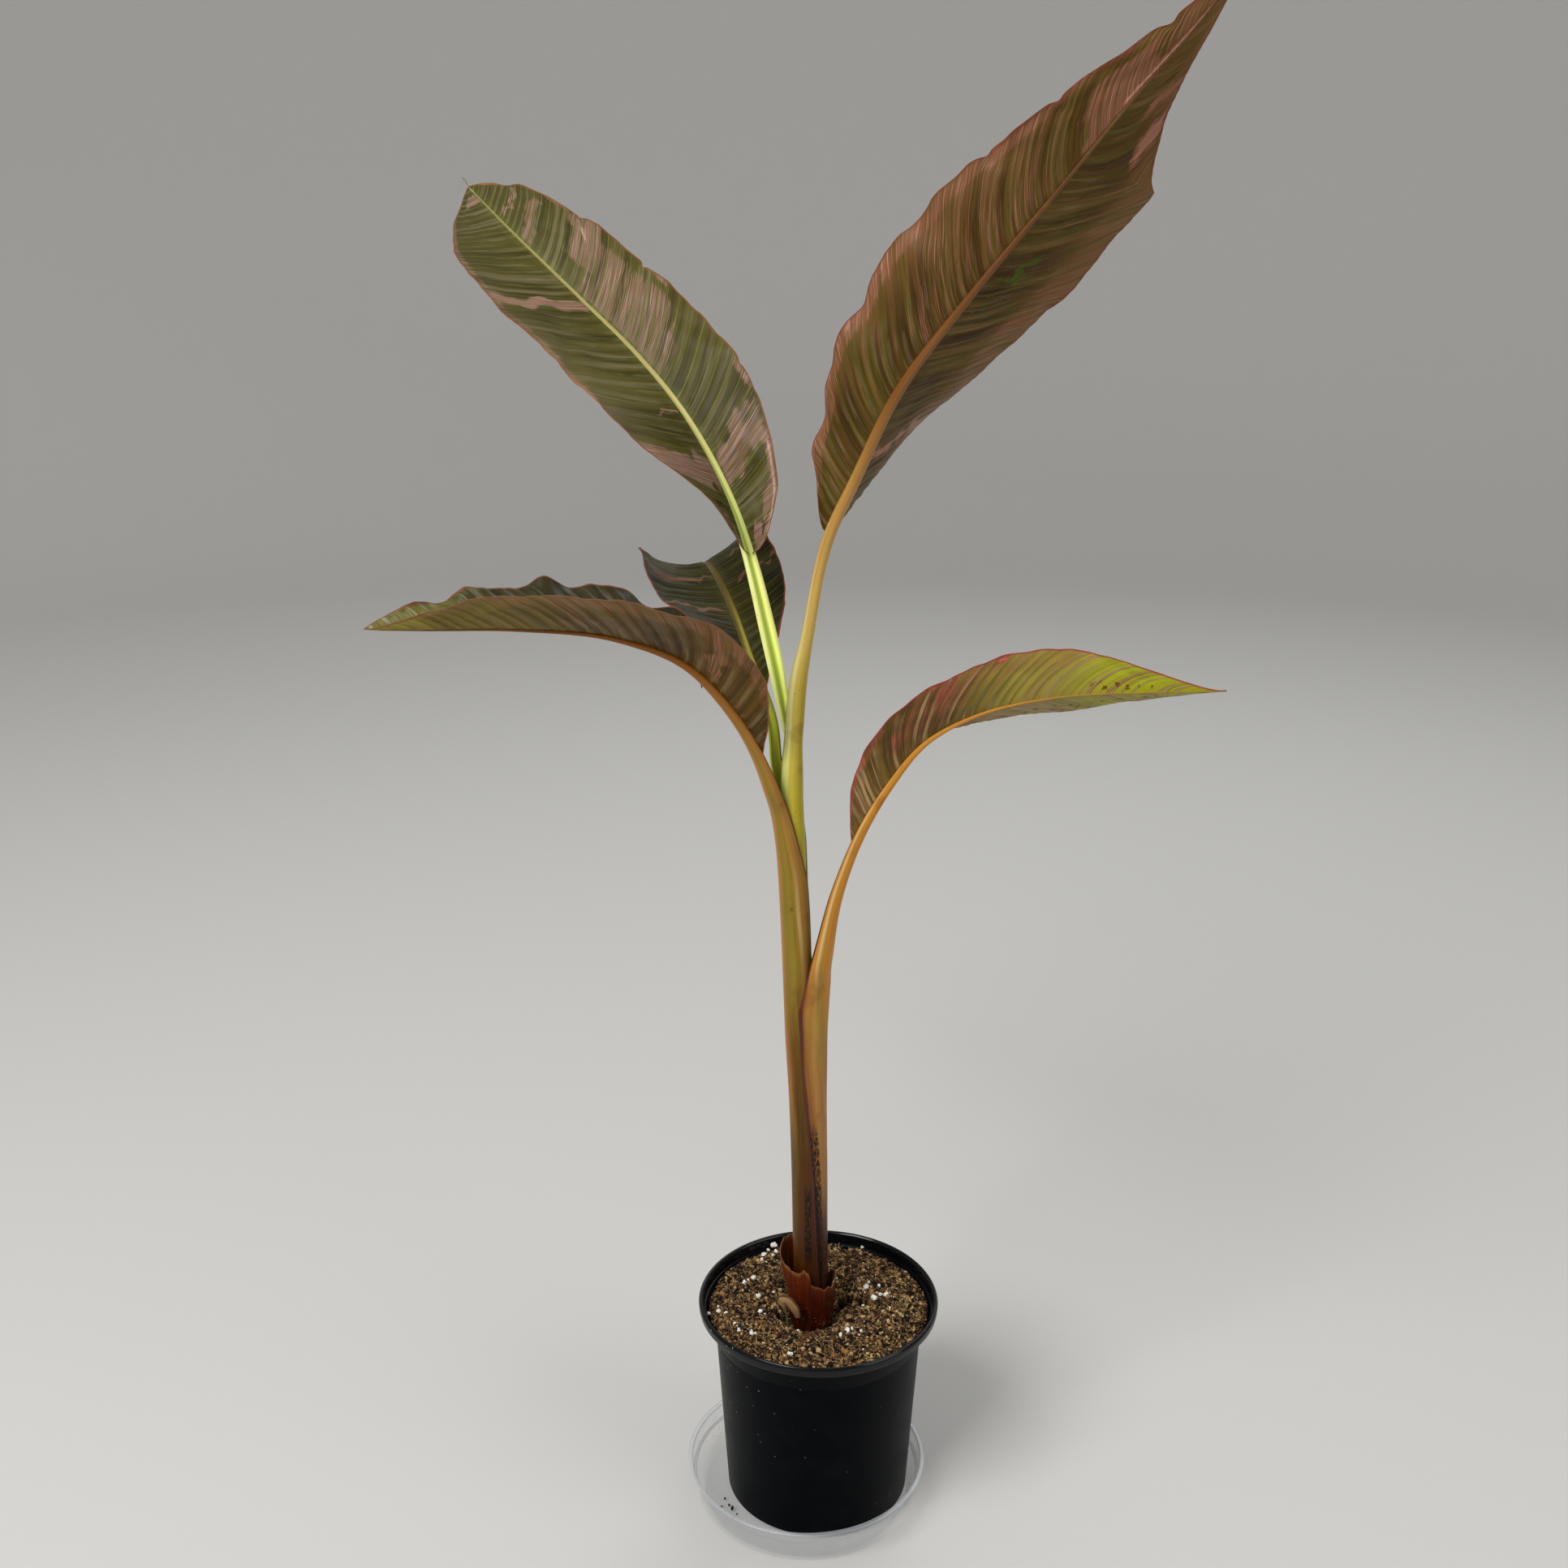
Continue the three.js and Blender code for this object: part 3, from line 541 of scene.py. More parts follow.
def stalkPaint(name, look):
    look = plainStalk | look
    paint = Paint(name, look["roughness"], Specular_IOR_Level=look["specular"])
    lengthwise, around, grow = paint.split(paint.attribute("stalkPlace"))  # in mm, -1 to 1, 0 to 1

    def streaks(across, upward, seed, detail, roughness=0.5):  # noise drawn out along the stalk
        return paint.noise(paint.join(around * across, lengthwise * upward, seed), 1, detail, roughness)

    threads = streaks(16, 0.02, 0.0, 4, 0.55)
    bands = streaks(3, 0.012, 4.0, 2)
    fine = streaks(34, 0.016, 7.0, 3, 0.6)
    cloud = paint.noise(paint.place(), 45, 3)

    # tones along the stalk, and those that keep to one side of it
    paint.colour = grow.ramp(*look["along"])
    for tone, middle, wide, strength, low, high in look["sides"]:
        off = (around - middle + (bands - 0.5) * 0.2).absolute()
        reached = grow.between(low - 0.05, high + 0.05, 0.08, 0.1)
        paint.over(tone, (1 - off.above(0.5 * wide, 1.6 * wide)) * reached * strength)
    lower = 1 - 0.8 * grow.above(0.44, 0.56)
    paint.over(look["light"], bands.above(0.45, 0.7) * look["lightShare"] * lower)
    paint.over(look["dark"], threads.above(0.52, 0.72) * look["darkShare"])
    paint.over(look["light"], fine.above(0.56, 0.7) * look["fineShare"])
    paint.over(look["dark"], (1 - fine.above(0.32, 0.44)) * look["fineShare"])

    # the groove in the middle, the edges and the foot
    side = around.absolute()
    if "groove" in look:
        middle = (1 - side.above(0.05, 0.5)) * (1 - grow.above(0.3, 0.46))
        paint.over(look["groove"], middle * look["grooveShare"])
    paint.over(look["edge"], side.above(look["edgeFrom"], look["edgeFrom"] + 0.05) * 0.85)
    paint.over(look["dark"], cloud.above(0.6, 0.72) * 0.35)
    for tone, low, high, strength in look["foot"]:
        paint.over(tone, (1 - (lengthwise + (bands - 0.5) * 60).above(low, high)) * strength)

    # freckles and rotten stains
    freckles = 1 - paint.cells(paint.place(), 520).above(0.12, 0.24)
    speckled = paint.noise(paint.place(), 50, 2).above(0.56, 0.66)
    paint.over(look.get("freckle", look["dark"]), freckles * speckled * 0.7)
    for low, high, first, last, strength in look["stains"]:
        spots = streaks(30, 0.28, 2.0, 4, 0.75).above(0.56 - 0.14 * strength, 0.62 - 0.1 * strength)
        where = lengthwise.between(low, high, 10, 14) * around.between(first, last, 0.04, 0.03)
        paint.over(rgb(22, 10, 8), spots * where)
    paint.set(Base_Color=paint.colour, Roughness=look["roughness"] + (threads - 0.5) * 0.2)
    paint.bump(threads, 0.00025, 0.5)
    return paint.material


# A leaf's face is the direction of its upper side, and its stalk gives the channel's radius, the thickness,
# the lip and how many degrees the section wraps, each at shares of the rib. An outline is for halfWidth().
# Waves are heights, counts and shifts, nicks are places, depths and widths, and bands are what bandStrength()
# takes: the half, start and end along it, inner and outer share across it, and strength.

# the tall leaf on the right, seen from its underside

rightUpper = {
    "seed": 11,
    "rib": [[-17, 0, 506], [-14, -3, 544], [-10, -8, 566], [3, -17, 628], [15, -23, 655], [37, -35, 703],
            [71, -52, 751], [107, -70, 797], [140, -88, 840], [166, -104, 872], [186, -122, 902]],
    "bladeFrom": 0.26,
    "face": [[0, [-0.46, 0.89, 0.01]], [0.35, [-0.08, 0.96, 0.25]], [0.7, [0.13, 0.95, 0.29]],
             [1, [-0.17, 0.78, 0.6]]],
    "outlineLeft": [56, 0.28, 0.67, 0.7, 1.42, 0.5], "outlineRight": [50.5, 0.34, 0.38, 1.43, 1.16, 0.66],
    "foldLeft": (60, 40, 29, 7), "foldRight": (45, 28, -10, -5), "curlLeft": [[0, 20], [0.5, 10], [1, 10]],
    "curlRight": [[0, 30], [0.5, 25], [1, 20]],
    "stalk": [[0, [4.3, 2, 0.9, 220]], [0.08, [3.6, 2.8, 1, 200]], [0.13, [2.2, 3.2, 1, 180]],
              [0.26, [1.8, 3, 1, 180]], [0.42, [1.4, 2.8, 0.8, 180]], [0.6, [0.8, 1.8, 0.6, 180]],
              [0.75, [0.4, 0.9, 0.4, 180]], [1, [0.1, 0.3, 0.2, 180]]],
    "lean": 0.13, "pleat": {"step": 5.8, "height": 0.36}, "wavesRight": [(2.2, 7, 0.1), (1.2, 13, 0.4)],
    "wavesLeft": [(1.0, 5, 0.3)],
    "bands": [(1, 0.66, 0.8, 0.0, 0.75, 0.7), (1, 0.3, 0.62, 0.0, 1.0, 0.36), (1, 0.04, 0.16, 0.7, 1.0, 0.5),
              (1, 0.8, 0.93, 0.2, 1.0, 0.5), (-1, 0.13, 0.15, 0.0, 1.0, 0.9),
              (-1, 0.62, 0.67, 0.55, 1.0, 0.9), (-1, 0.2, 0.95, 0.6, 1.0, 0.4),
              (-1, 0.88, 1.0, 0.3, 1.0, 0.5), (-1, 0.7, 0.74, 0.4, 1.0, 0.7),
              (1, 0.72, 0.92, 0.0, 0.16, 0.97), (1, 0.0, 0.3, 0.9, 1.0, 0.92), (1, 0.1, 0.6, 0.8, 1.0, 0.6)],
    "nicksRight": [(0.86, 2.4, 0.012), (0.7, 1.6, 0.008), (0.58, 1.4, 0.008), (0.3, 1.2, 0.01)],
}

maroonUnder = {
    "deep": rgb(54, 38, 8), "base": rgb(80, 57, 16), "outer": rgb(134, 94, 58), "outerFrom": 18,
    "outerShare": 0.6, "streak": rgb(108, 84, 46), "vein": rgb(84, 62, 16), "gleam": rgb(150, 122, 98),
    "gleamShare": 0.2, "blush": rgb(128, 82, 58), "blushLight": rgb(202, 146, 128), "edge": rgb(116, 62, 46),
    "roughness": 0.4, "grooveShare": 0.15, "ridgeBump": 0.2, "specular": 0.1,
    "patches": [(rgb(66, 86, 20), 0.36, 0.5, 0.05, 0.4, 130, -1)],
    "streams": [(rgb(74, 70, 14), 0.46, 0.58, 0.75), (rgb(118, 80, 48), 0.54, 0.64, 0.5),
                (rgb(158, 128, 108), 0.66, 0.74, 0.35)],
    "along": [(rgb(146, 104, 58), 0.7, 0.98, 0.8)],
}
darkUpper = {
    "deep": rgb(30, 27, 8), "base": rgb(52, 47, 16), "outer": rgb(60, 48, 24), "outerFrom": 26,
    "outerShare": 0.4, "streak": rgb(78, 72, 34), "vein": rgb(92, 94, 38), "veinShare": 0.5, "veinReach": 34,
    "gleam": rgb(98, 96, 70), "gleamShare": 0.12, "blush": rgb(104, 72, 54), "blushLight": rgb(150, 108, 92),
    "edge": rgb(120, 66, 48), "specular": 0.07,
}
# the glossy upper side has strong pale painted highlights on its pleats, besides a higher specular
glossyUpper = dict(darkUpper, gleam=rgb(176, 172, 152), gleamShare=0.75, specular=0.22, along=[
    (rgb(112, 108, 44), 0.7, 0.92, 1.1)])

oliveStalk = {
    "along": [(0.0, rgb(150, 122, 20)), (0.12, rgb(168, 154, 26)), (0.2, rgb(180, 166, 34)),
              (0.34, rgb(204, 174, 84)), (0.46, rgb(180, 134, 66)), (0.58, rgb(120, 68, 22)),
              (0.8, rgb(82, 44, 8)), (1.0, rgb(74, 44, 10))],
    # The first and third side tones, pale lime and near white round 0.5, are a painted highlight down the
    # stalk's lit side, laid partly on its own pale lime; the ochre one is its own colour.
    "sides": [(rgb(222, 228, 136), 0.5, 0.14, 0.8, 0.04, 0.34),
              (rgb(156, 138, 20), -0.2, 0.3, 0.5, 0.06, 0.34),
              (rgb(222, 206, 160), 0.55, 0.12, 0.6, 0.26, 0.42)],
    "light": rgb(196, 180, 84), "lightShare": 0.35, "dark": rgb(118, 88, 24), "edge": rgb(96, 50, 24),
    "fineShare": 0.12, "roughness": 0.28, "specular": 0.35,
}
limeInside = {
    "along": [(0.0, rgb(150, 160, 60)), (0.4, rgb(166, 176, 76)), (1.0, rgb(140, 140, 70))],
    "light": rgb(206, 214, 130), "dark": rgb(120, 130, 50), "edge": rgb(150, 110, 70), "roughness": 0.4,
}

# a roll's rows: height, middle, half widths, the angles where it starts and ends, thickness
innerRoll = [
    (345, (-12.1, 0), (6.0, 6.0), 462, 132, 1.4),
    (404, (-14.3, 0), (6.1, 6.1), 462, 132, 1.4),
    (443, (-15.5, 0), (6.3, 6.2), 462, 132, 1.4),
    (466, (-16.9, 0), (6.5, 6.3), 455, 140, 1.4),
    (488, (-17.2, 0), (6.4, 6.3), 435, 160, 1.5),
]

limePaint = stalkPaint("lime_channel", limeInside)
darkUpperPaint = leafPaint("dark_upper_side", darkUpper)
maroonPaint = leafPaint("maroon_underside", maroonUnder)

leafPieces("right_upper", rightUpper, [darkUpperPaint, maroonPaint],
           [limePaint, stalkPaint("olive_stalk", oliveStalk)], "stalk_olive",
           ["blade_right_upper"], ["stalk_right_upper", "sheath_inner"], innerRoll)


# the tall leaf on the left, seen from its upper side

leftUpper = {
    "seed": 23,
    "rib": [[-18, 1, 506.1], [-29, 10, 561], [-53, 34, 641], [-78, 50, 684], [-107, 68, 717],
            [-138, 86, 745], [-183, 120, 784], [-215, 168, 810]],
    "bladeFrom": 0.255,
    "face": [[0, [0.3, -0.95, 0.09]], [0.5, [0.25, -0.77, 0.59]], [1, [-0.4, -0.5, 0.65]]],
    "outlineLeft": [51, 0.32, 0.48, 2.16, 0.76, 0.8], "outlineRight": [43.5, 0.36, 0.5, 2.1, 0.88, 0.52],
    "foldLeft": (57, 17, 13, -5), "foldRight": (48, 33, 18, 30), "curlLeft": [[0, 10], [0.5, 10], [1, 1]],
    "curlRight": [[0, 10], [0.5, -20], [1, -20]],
    "stalk": [[0, [1.6, 2.2, 0.9, 180]], [0.1, [3, 3.1, 1.3, 190]], [0.2, [2.8, 3.3, 1.3, 185]],
              [0.27, [2.2, 3.2, 1.2, 180]], [0.5, [1.3, 2.6, 0.8, 180]], [0.75, [0.7, 1.6, 0.5, 180]],
              [1, [0.2, 0.5, 0.3, 180]]],
    "lean": 0.1, "pleat": {"step": 7.0, "height": 0.3}, "wavesRight": [(1.4, 6, 0.2), (0.9, 11, 0.7)],
    "wavesLeft": [(0.7, 5, 0.6)], "nicksRight": [(0.56, 1.6, 0.006), (0.3, 1.0, 0.005), (0.72, 1.2, 0.008)],
    "bands": [(1, 0.36, 0.6, 0.0, 0.84, 0.54), (1, 0.56, 0.66, 0.3, 1.0, 0.56),
              (1, 0.13, 0.2, 0.0, 0.95, 0.66), (1, 0.0, 0.04, 0.2, 1.0, 0.8),
              (1, 0.04, 0.08, 0.6, 1.0, 0.75), (1, 0.74, 0.78, 0.0, 0.85, 0.55),
              (1, 0.82, 0.84, 0.1, 0.9, 0.6), (1, 0.615, 0.63, 0.62, 0.86, 0.96),
              (-1, 0.555, 0.585, 0.0, 1.0, 0.8), (-1, 0.12, 0.19, 0.0, 1.0, 0.85),
              (-1, 0.28, 0.288, 0.0, 0.4, 0.9), (-1, 0.0, 0.07, 0.2, 1.0, 0.66),
              (-1, 0.3, 0.9, 0.9, 1.0, 0.6), (-1, 0.92, 0.96, 0.0, 0.6, 0.7),
              (1, 0.0, 0.14, 0.86, 1.0, 0.98), (1, 0.2, 0.24, 0.9, 1.0, 0.98),
              (1, 0.4, 0.43, 0.93, 1.0, 0.98), (1, 0.66, 0.74, 0.95, 1.0, 0.98)],
}

greenUpper = {
    "deep": rgb(54, 50, 16), "base": rgb(84, 79, 32), "outer": rgb(94, 82, 46), "outerFrom": 22,
    "streak": rgb(110, 103, 60), "streakShare": 0.45, "vein": rgb(122, 136, 58), "veinShare": 0.7,
    "veinReach": 34, "gleam": rgb(136, 130, 96), "gleamShare": 0.25, "blush": rgb(134, 100, 84),
    "blushLight": rgb(202, 166, 152), "edge": rgb(128, 78, 48), "dry": rgb(150, 108, 76),
    "along": [(rgb(62, 54, 24), 0.72, 0.95, 0.8)],
    "streams": [(rgb(62, 58, 20), 0.5, 0.64, 0.45), (rgb(136, 124, 92), 0.52, 0.66, 0.4)],
}
greenUnder = {
    "deep": rgb(76, 68, 34), "base": rgb(104, 88, 52), "outer": rgb(118, 88, 62),
    "streak": rgb(130, 110, 80), "streakShare": 0.4, "vein": rgb(96, 86, 40), "veinShare": 0.4,
    "gleam": rgb(150, 132, 110), "blush": rgb(140, 100, 82), "blushLight": rgb(184, 150, 134),
    "edge": rgb(160, 100, 76), "roughness": 0.5,
}
limeStalk = {
    "along": [(0.0, rgb(242, 252, 116)), (0.2, rgb(250, 255, 150)), (0.34, rgb(216, 216, 130)),
              (0.5, rgb(184, 166, 104)), (0.75, rgb(154, 136, 80)), (1.0, rgb(122, 108, 56))],
    "groove": rgb(150, 176, 50), "light": rgb(246, 250, 190), "dark": rgb(176, 186, 84),
    "edge": rgb(232, 236, 156), "roughness": 0.4,
}

greenPaints = [leafPaint("green_upper_side", greenUpper), leafPaint("green_underside", greenUnder)]
leafPieces("left_upper", leftUpper, greenPaints,
           [stalkPaint("lime_stalk", limeStalk)] * 2, "stalk_lime",
           ["blade_left_upper"], ["stalk_left_upper"])


# the leaf that arches out to the left, and its sheath, which makes the stem's left side

leftLower = {
    "seed": 37,
    "rib": [[-16, -1, 441], [-27, -7, 484], [-50, -13, 528], [-76, -18, 556], [-112, -23, 571],
            [-166, -28, 577], [-216, -30, 577], [-250, -30, 577]],
    "bladeFrom": 0.2,
    "face": [[0, [0.97, 0.1, 0.1]], [0.15, [0.85, 0.25, 0.4]], [0.3, [0.74, 0.26, 0.62]],
             [0.6, [0.2, -0.1, 0.97]], [1, [0.04, 0.06, 1]]],
    "outlineLeft": [50, 0.38, 0.47, 1.87, 1.4, 1], "outlineRight": [45, 0.6, 0.45, 1.98, 0.85, 0.9],
    "foldLeft": (40, 33, 40, 41), "foldRight": (80, 26, 18, 45),
    "sheath": [([-22.6, 0, 361.3], [7.9, 2.8, 1.1, 300], 0), ([-24.3, 0, 404], [8.0, 2.8, 1.1, 290], 0),
               ([-25.5, -0.5, 427], [8.1, 2.4, 1.1, 272], 0), ([-26.8, -1.3, 443], [8.0, 2.6, 1.1, 222], 4),
               ([-29.4, -3.0, 462], [7.2, 3.0, 1.1, 176], 14)],
    "stalk": [[0, [7.9, 2.6, 1.1, 200]], [0.14, [4.6, 3.7, 1, 180]], [0.2, [3.2, 3.7, 1, 175]],
              [0.35, [1.9, 3.2, 0.8, 180]], [0.5, [1.2, 2.6, 0.7, 180]], [0.75, [0.5, 1.4, 0.5, 180]],
              [1, [0.2, 0.5, 0.3, 180]]],
    "lean": 0.11, "sheathUpTo": 0.14, "pleat": {"step": 9.0, "height": 0.7, "fadeFrom": 0.6},
    "wavesRight": [(3.2, 6.5, 0.2), (1.4, 11, 0.5)], "wavesLeft": [(0.8, 7, 0.1)],
    "bands": [(-1, 0.05, 0.95, 0.75, 1.0, 0.5), (-1, 0.2, 0.24, 0.1, 0.9, 0.6),
              (-1, 0.46, 0.56, 0.2, 1.0, 0.45), (1, 0.35, 0.42, 0.2, 1.0, 0.2)],
}

pleatedUnder = {
    "deep": rgb(50, 34, 8), "base": rgb(90, 64, 20), "outer": rgb(130, 98, 56), "outerShare": 0.6,
    "streak": rgb(138, 108, 66), "vein": rgb(70, 48, 12), "gleam": rgb(170, 142, 110), "gleamShare": 0.25,
    "blush": rgb(130, 84, 56), "blushLight": rgb(184, 136, 104), "edge": rgb(128, 84, 58), "roughness": 0.42,
    "streams": [(rgb(104, 96, 34), 0.52, 0.64, 0.5), (rgb(108, 70, 44), 0.56, 0.68, 0.4)],
    "along": [(rgb(136, 122, 56), 0.4, 0.8, 0.9), (rgb(158, 148, 56), 0.78, 0.98, 1.0)],
}
ochreStalk = {
    "along": [(0.0, rgb(52, 20, 8)), (0.08, rgb(58, 28, 6)), (0.14, rgb(60, 34, 3)), (0.22, rgb(66, 42, 2)),
              (0.32, rgb(100, 68, 8)), (0.42, rgb(136, 100, 22)), (0.52, rgb(150, 112, 40)),
              (0.6, rgb(156, 108, 46)), (0.72, rgb(140, 84, 24)), (0.85, rgb(120, 70, 24)),
              (1.0, rgb(112, 84, 34))],
    "sides": [(rgb(186, 116, 54), -0.08, 0.16, 0.6, 0.24, 0.7),
              (rgb(124, 112, 34), -0.4, 0.16, 0.65, 0.36, 0.64),
              (rgb(132, 92, 48), -0.8, 0.12, 0.5, 0.34, 0.6),
              (rgb(190, 170, 116), -0.66, 0.04, 0.5, 0.42, 0.48)],
    "light": rgb(150, 126, 44), "dark": rgb(98, 52, 12), "edge": rgb(84, 34, 26), "edgeFrom": 0.92,
    "lightShare": 0.35, "foot": [(rgb(78, 44, 2), 90, 200, 0.7), (rgb(48, 18, 6), 20, 84, 0.75)],
    "stains": [(44, 108, -0.6, -0.42, 1.0), (278, 300, -0.52, -0.44, 0.3)],
}
leftRoll = [
    (118.4, (-5.3, 0), (10.7, 9.1), 350, 10, 1.6),
    (150, (-5.6, 0), (10.3, 8.8), 350, 10, 1.6),
    (185, (-6.1, 0), (10.3, 8.8), 350, 10, 1.6),
    (229, (-6.8, 0), (10.4, 8.9), 350, 10, 1.6),
    (281, (-8.4, 0), (10.5, 9.1), 345, 15, 1.6),
    (322, (-10.6, 0), (10.6, 9.1), 335, 25, 1.6),
    (344, (-11.4, 0), (10.6, 9.0), 330, 30, 1.8),
]

pleatedPaints = [leafPaint("glossy_upper_side", glossyUpper), leafPaint("pleated_underside", pleatedUnder)]
leafPieces("left_lower", leftLower, pleatedPaints,
           [limePaint, stalkPaint("ochre_sheath_left", ochreStalk)], "stalk_ochre",
           ["blade_left_lower_1", "blade_left_lower_2"], ["stalk_left_lower", "stem"], leftRoll)


# the leaf that arches out to the right, and its sheath, the outermost of the stem

rightLower = {
    "seed": 41,
    "rib": [[-3, -4, 372], [7.6, -8, 419], [22, -11, 457], [37, -13, 483], [58, -14, 509], [86, -16, 525],
            [125, -18, 535], [177, -20, 539], [224, -20, 540]],
    "bladeFrom": 0.24,
    "face": [[0, [-0.93, 0.34, 0.15]], [0.3, [-0.7, 0.6, 0.39]], [0.6, [-0.19, 0.84, 0.51]],
             [1, [-0.02, 0.83, 0.56]]],
    "outlineLeft": [40.5, 0.36, 0.42, 1.72, 1.1, 0.8], "outlineRight": [30.5, 0.42, 0.51, 2.03, 1.62, 0.82],
    "foldLeft": (66, 37, 23, 26), "foldRight": (90, 14, 29, 16),
    "stalk": [[0, [6.4, 3.6, 1.2, 196]], [0.08, [4.1, 3.6, 1.1, 186]], [0.16, [2.8, 3.5, 1, 180]],
              [0.27, [1.8, 3.3, 1, 180]], [0.4, [1.1, 2.4, 0.8, 180]], [0.55, [0.5, 1.3, 0.5, 180]],
              [0.68, [0.25, 0.6, 0.35, 180]], [1, [0.15, 0.4, 0.25, 180]]],
    "lean": 0.13, "pleat": {"step": 7.0, "height": 0.6, "fadeFrom": 0.6, "calmFrom": 0.35},
    "wavesRight": [(0.9, 6, 0.1), (0.5, 13, 0.4)], "wavesLeft": [(0.3, 4, 0.1)],
    "bands": [(1, 0.0, 0.2, 0.8, 1.0, 0.6), (1, 0.2, 0.42, 0.3, 1.0, 0.45), (1, 0.42, 0.6, 0.6, 1.0, 0.4),
              (1, 0.3, 0.34, 0.55, 1.0, 0.7), (1, 0.02, 0.15, 0.92, 1.0, 1.0),
              (1, 0.38, 0.41, 0.86, 1.0, 1.0), (1, 0.28, 0.3, 0.88, 1.0, 1.0)],
}

yellowingUnder = {
    "deep": rgb(78, 58, 20), "base": rgb(116, 90, 42), "outer": rgb(138, 100, 62), "outerShare": 0.45,
    "streak": rgb(156, 132, 84), "streakShare": 0.45, "vein": rgb(120, 92, 28), "veinShare": 0.2,
    "gleam": rgb(176, 152, 118), "blush": rgb(128, 72, 50), "blushLight": rgb(206, 96, 92),
    "edge": rgb(150, 54, 54), "roughness": 0.42, "grooveShare": 0.16,
    "streams": [(rgb(104, 58, 34), 0.5, 0.6, 0.75), (rgb(172, 150, 104), 0.54, 0.64, 0.65)],
    "along": [(rgb(154, 142, 60), 0.34, 0.56, 0.9), (rgb(156, 160, 18), 0.58, 0.84, 1.35)],
    "patches": [(rgb(96, 44, 12), 0.66, 0.84, 0.08, 0.36, 240, 1),
                (rgb(100, 62, 20), 0.4, 0.9, 0.3, 0.9, 260, -1)],
}
rightRoll = [
    (118.4, (-4.9, 0), (11.7, 10.0), 150, -62, 1.2),
    (150, (-4.9, 0), (11.0, 9.7), 150, -66, 1.1),
    (185, (-5.4, 0), (11.0, 9.7), 150, -75, 1.0),
    (229, (-6.0, 0), (11.2, 9.8), 150, -85, 1.0),
    (281, (-7.2, 0), (11.6, 10.0), 150, -104, 1.0),
    (303, (-7.8, 0), (12.3, 10.2), 145, -111, 1.1),
    (322, (-8.3, 0), (12.9, 10.4), 135, -111, 1.3),
    (343, (-8.4, 0), (13.9, 10.5), 115, -110, 1.6),
    (355, (-7.6, 0), (13.8, 10.5), 95, -104, 2.2),
]
rightStalk = {
    "along": [(0.0, rgb(48, 18, 12)), (0.07, rgb(56, 24, 18)), (0.13, rgb(72, 40, 26)),
              (0.19, rgb(116, 74, 34)), (0.28, rgb(150, 98, 40)), (0.36, rgb(150, 112, 40)),
              (0.46, rgb(180, 122, 44)), (0.62, rgb(182, 124, 36)), (0.75, rgb(180, 124, 34)),
              (1.0, rgb(160, 128, 36))],
    "sides": [(rgb(170, 126, 70), 0.58, 0.2, 0.6, 0.16, 0.4),
              (rgb(112, 62, 32), 0.86, 0.1, 0.65, 0.18, 0.38),
              (rgb(128, 112, 40), 0.5, 0.12, 0.6, 0.34, 0.5),
              # a painted highlight: a narrow pale line along the petiole
              (rgb(214, 182, 126), 0.64, 0.08, 0.7, 0.44, 0.64),
              (rgb(196, 128, 34), 0.22, 0.22, 0.6, 0.38, 0.8),
              (rgb(120, 56, 36), 0.95, 0.08, 0.7, 0.36, 0.62)],
    "light": rgb(178, 140, 60), "dark": rgb(118, 58, 22), "edge": rgb(62, 24, 24), "edgeFrom": 0.87,
    "lightShare": 0.4, "foot": [(rgb(74, 44, 34), 60, 110, 0.6), (rgb(50, 16, 14), 20, 80, 0.7)],
    "stains": [(30, 150, 0.7, 0.96, 0.9), (20, 110, 0.82, 0.94, 1.5), (4, 84, -0.2, 0.96, 0.45)],
}

yellowingPaints = [darkUpperPaint, leafPaint("yellowing_underside", yellowingUnder)]
leafPieces("right_lower", rightLower, yellowingPaints,
           [limePaint, stalkPaint("ochre_sheath_right", rightStalk)], "stalk_ochre",
           ["blade_right_lower_1", "blade_right_lower_2"], ["stalk_right_lower"], rightRoll)


# the leaf at the back, which arches away and hangs

backLeaf = {
    "seed": 53,
    "rib": [[-25.5, 5, 478], [-28, 9, 514], [-42, 38, 546], [-54, 69, 571], [-68, 106, 588], [-77, 152, 575],
            [-80, 191, 533], [-79, 214, 482]],
    "bladeFrom": 0.17,
    "face": [[0, [0.23, -0.97, 0.1]], [0.3, [0.32, -0.49, 0.81]], [0.6, [-0.24, 0.38, 0.89]],
             [1, [0.11, 0.94, 0.31]]],
    "outlineLeft": [44.5, 0.4, 0.42, 1.67, 1.19, 0.9], "outlineRight": [41, 0.42, 0.42, 1.8, 1, 0.8],
    "foldLeft": (52, -20, 26, 11), "foldRight": (65, 18, 25, 9),
    "curlLeft": [[0, 14], [0.25, 20], [0.42, 64], [0.6, 40], [1, 10]],
    "stalk": [[0, [3, 2.5, 0.9, 160]], [0.06, [2.2, 2.6, 0.9, 180]], [0.14, [2.0, 2.8, 0.9, 180]],
              [0.24, [2.2, 2.4, 0.9, 184]], [0.45, [1.9, 1.9, 0.7, 184]], [0.75, [0.9, 1.4, 0.5, 184]],
              [1, [0.2, 0.5, 0.3, 180]]],
    "sheathUpTo": 0.05, "lean": 0.06, "pleat": {"step": 6.5, "height": 0.4}, "wavesRight": [(1.2, 7, 0.3)],
    "wavesLeft": [(1.0, 5, 0.1)],
    "bands": [(-1, 0.22, 0.232, 0.1, 1.0, 0.75), (-1, 0.33, 0.345, 0.0, 1.0, 0.65),
              (-1, 0.44, 0.452, 0.0, 1.0, 0.65), (1, 0.3, 0.312, 0.2, 1.0, 0.7),
              (1, 0.4, 0.412, 0.3, 1.0, 0.7), (1, 0.45, 0.47, 0.1, 0.9, 0.55), (-1, 0.6, 0.7, 0.2, 1.0, 0.5),
              (1, 0.0, 0.1, 0.9, 1.0, 0.95)],
}
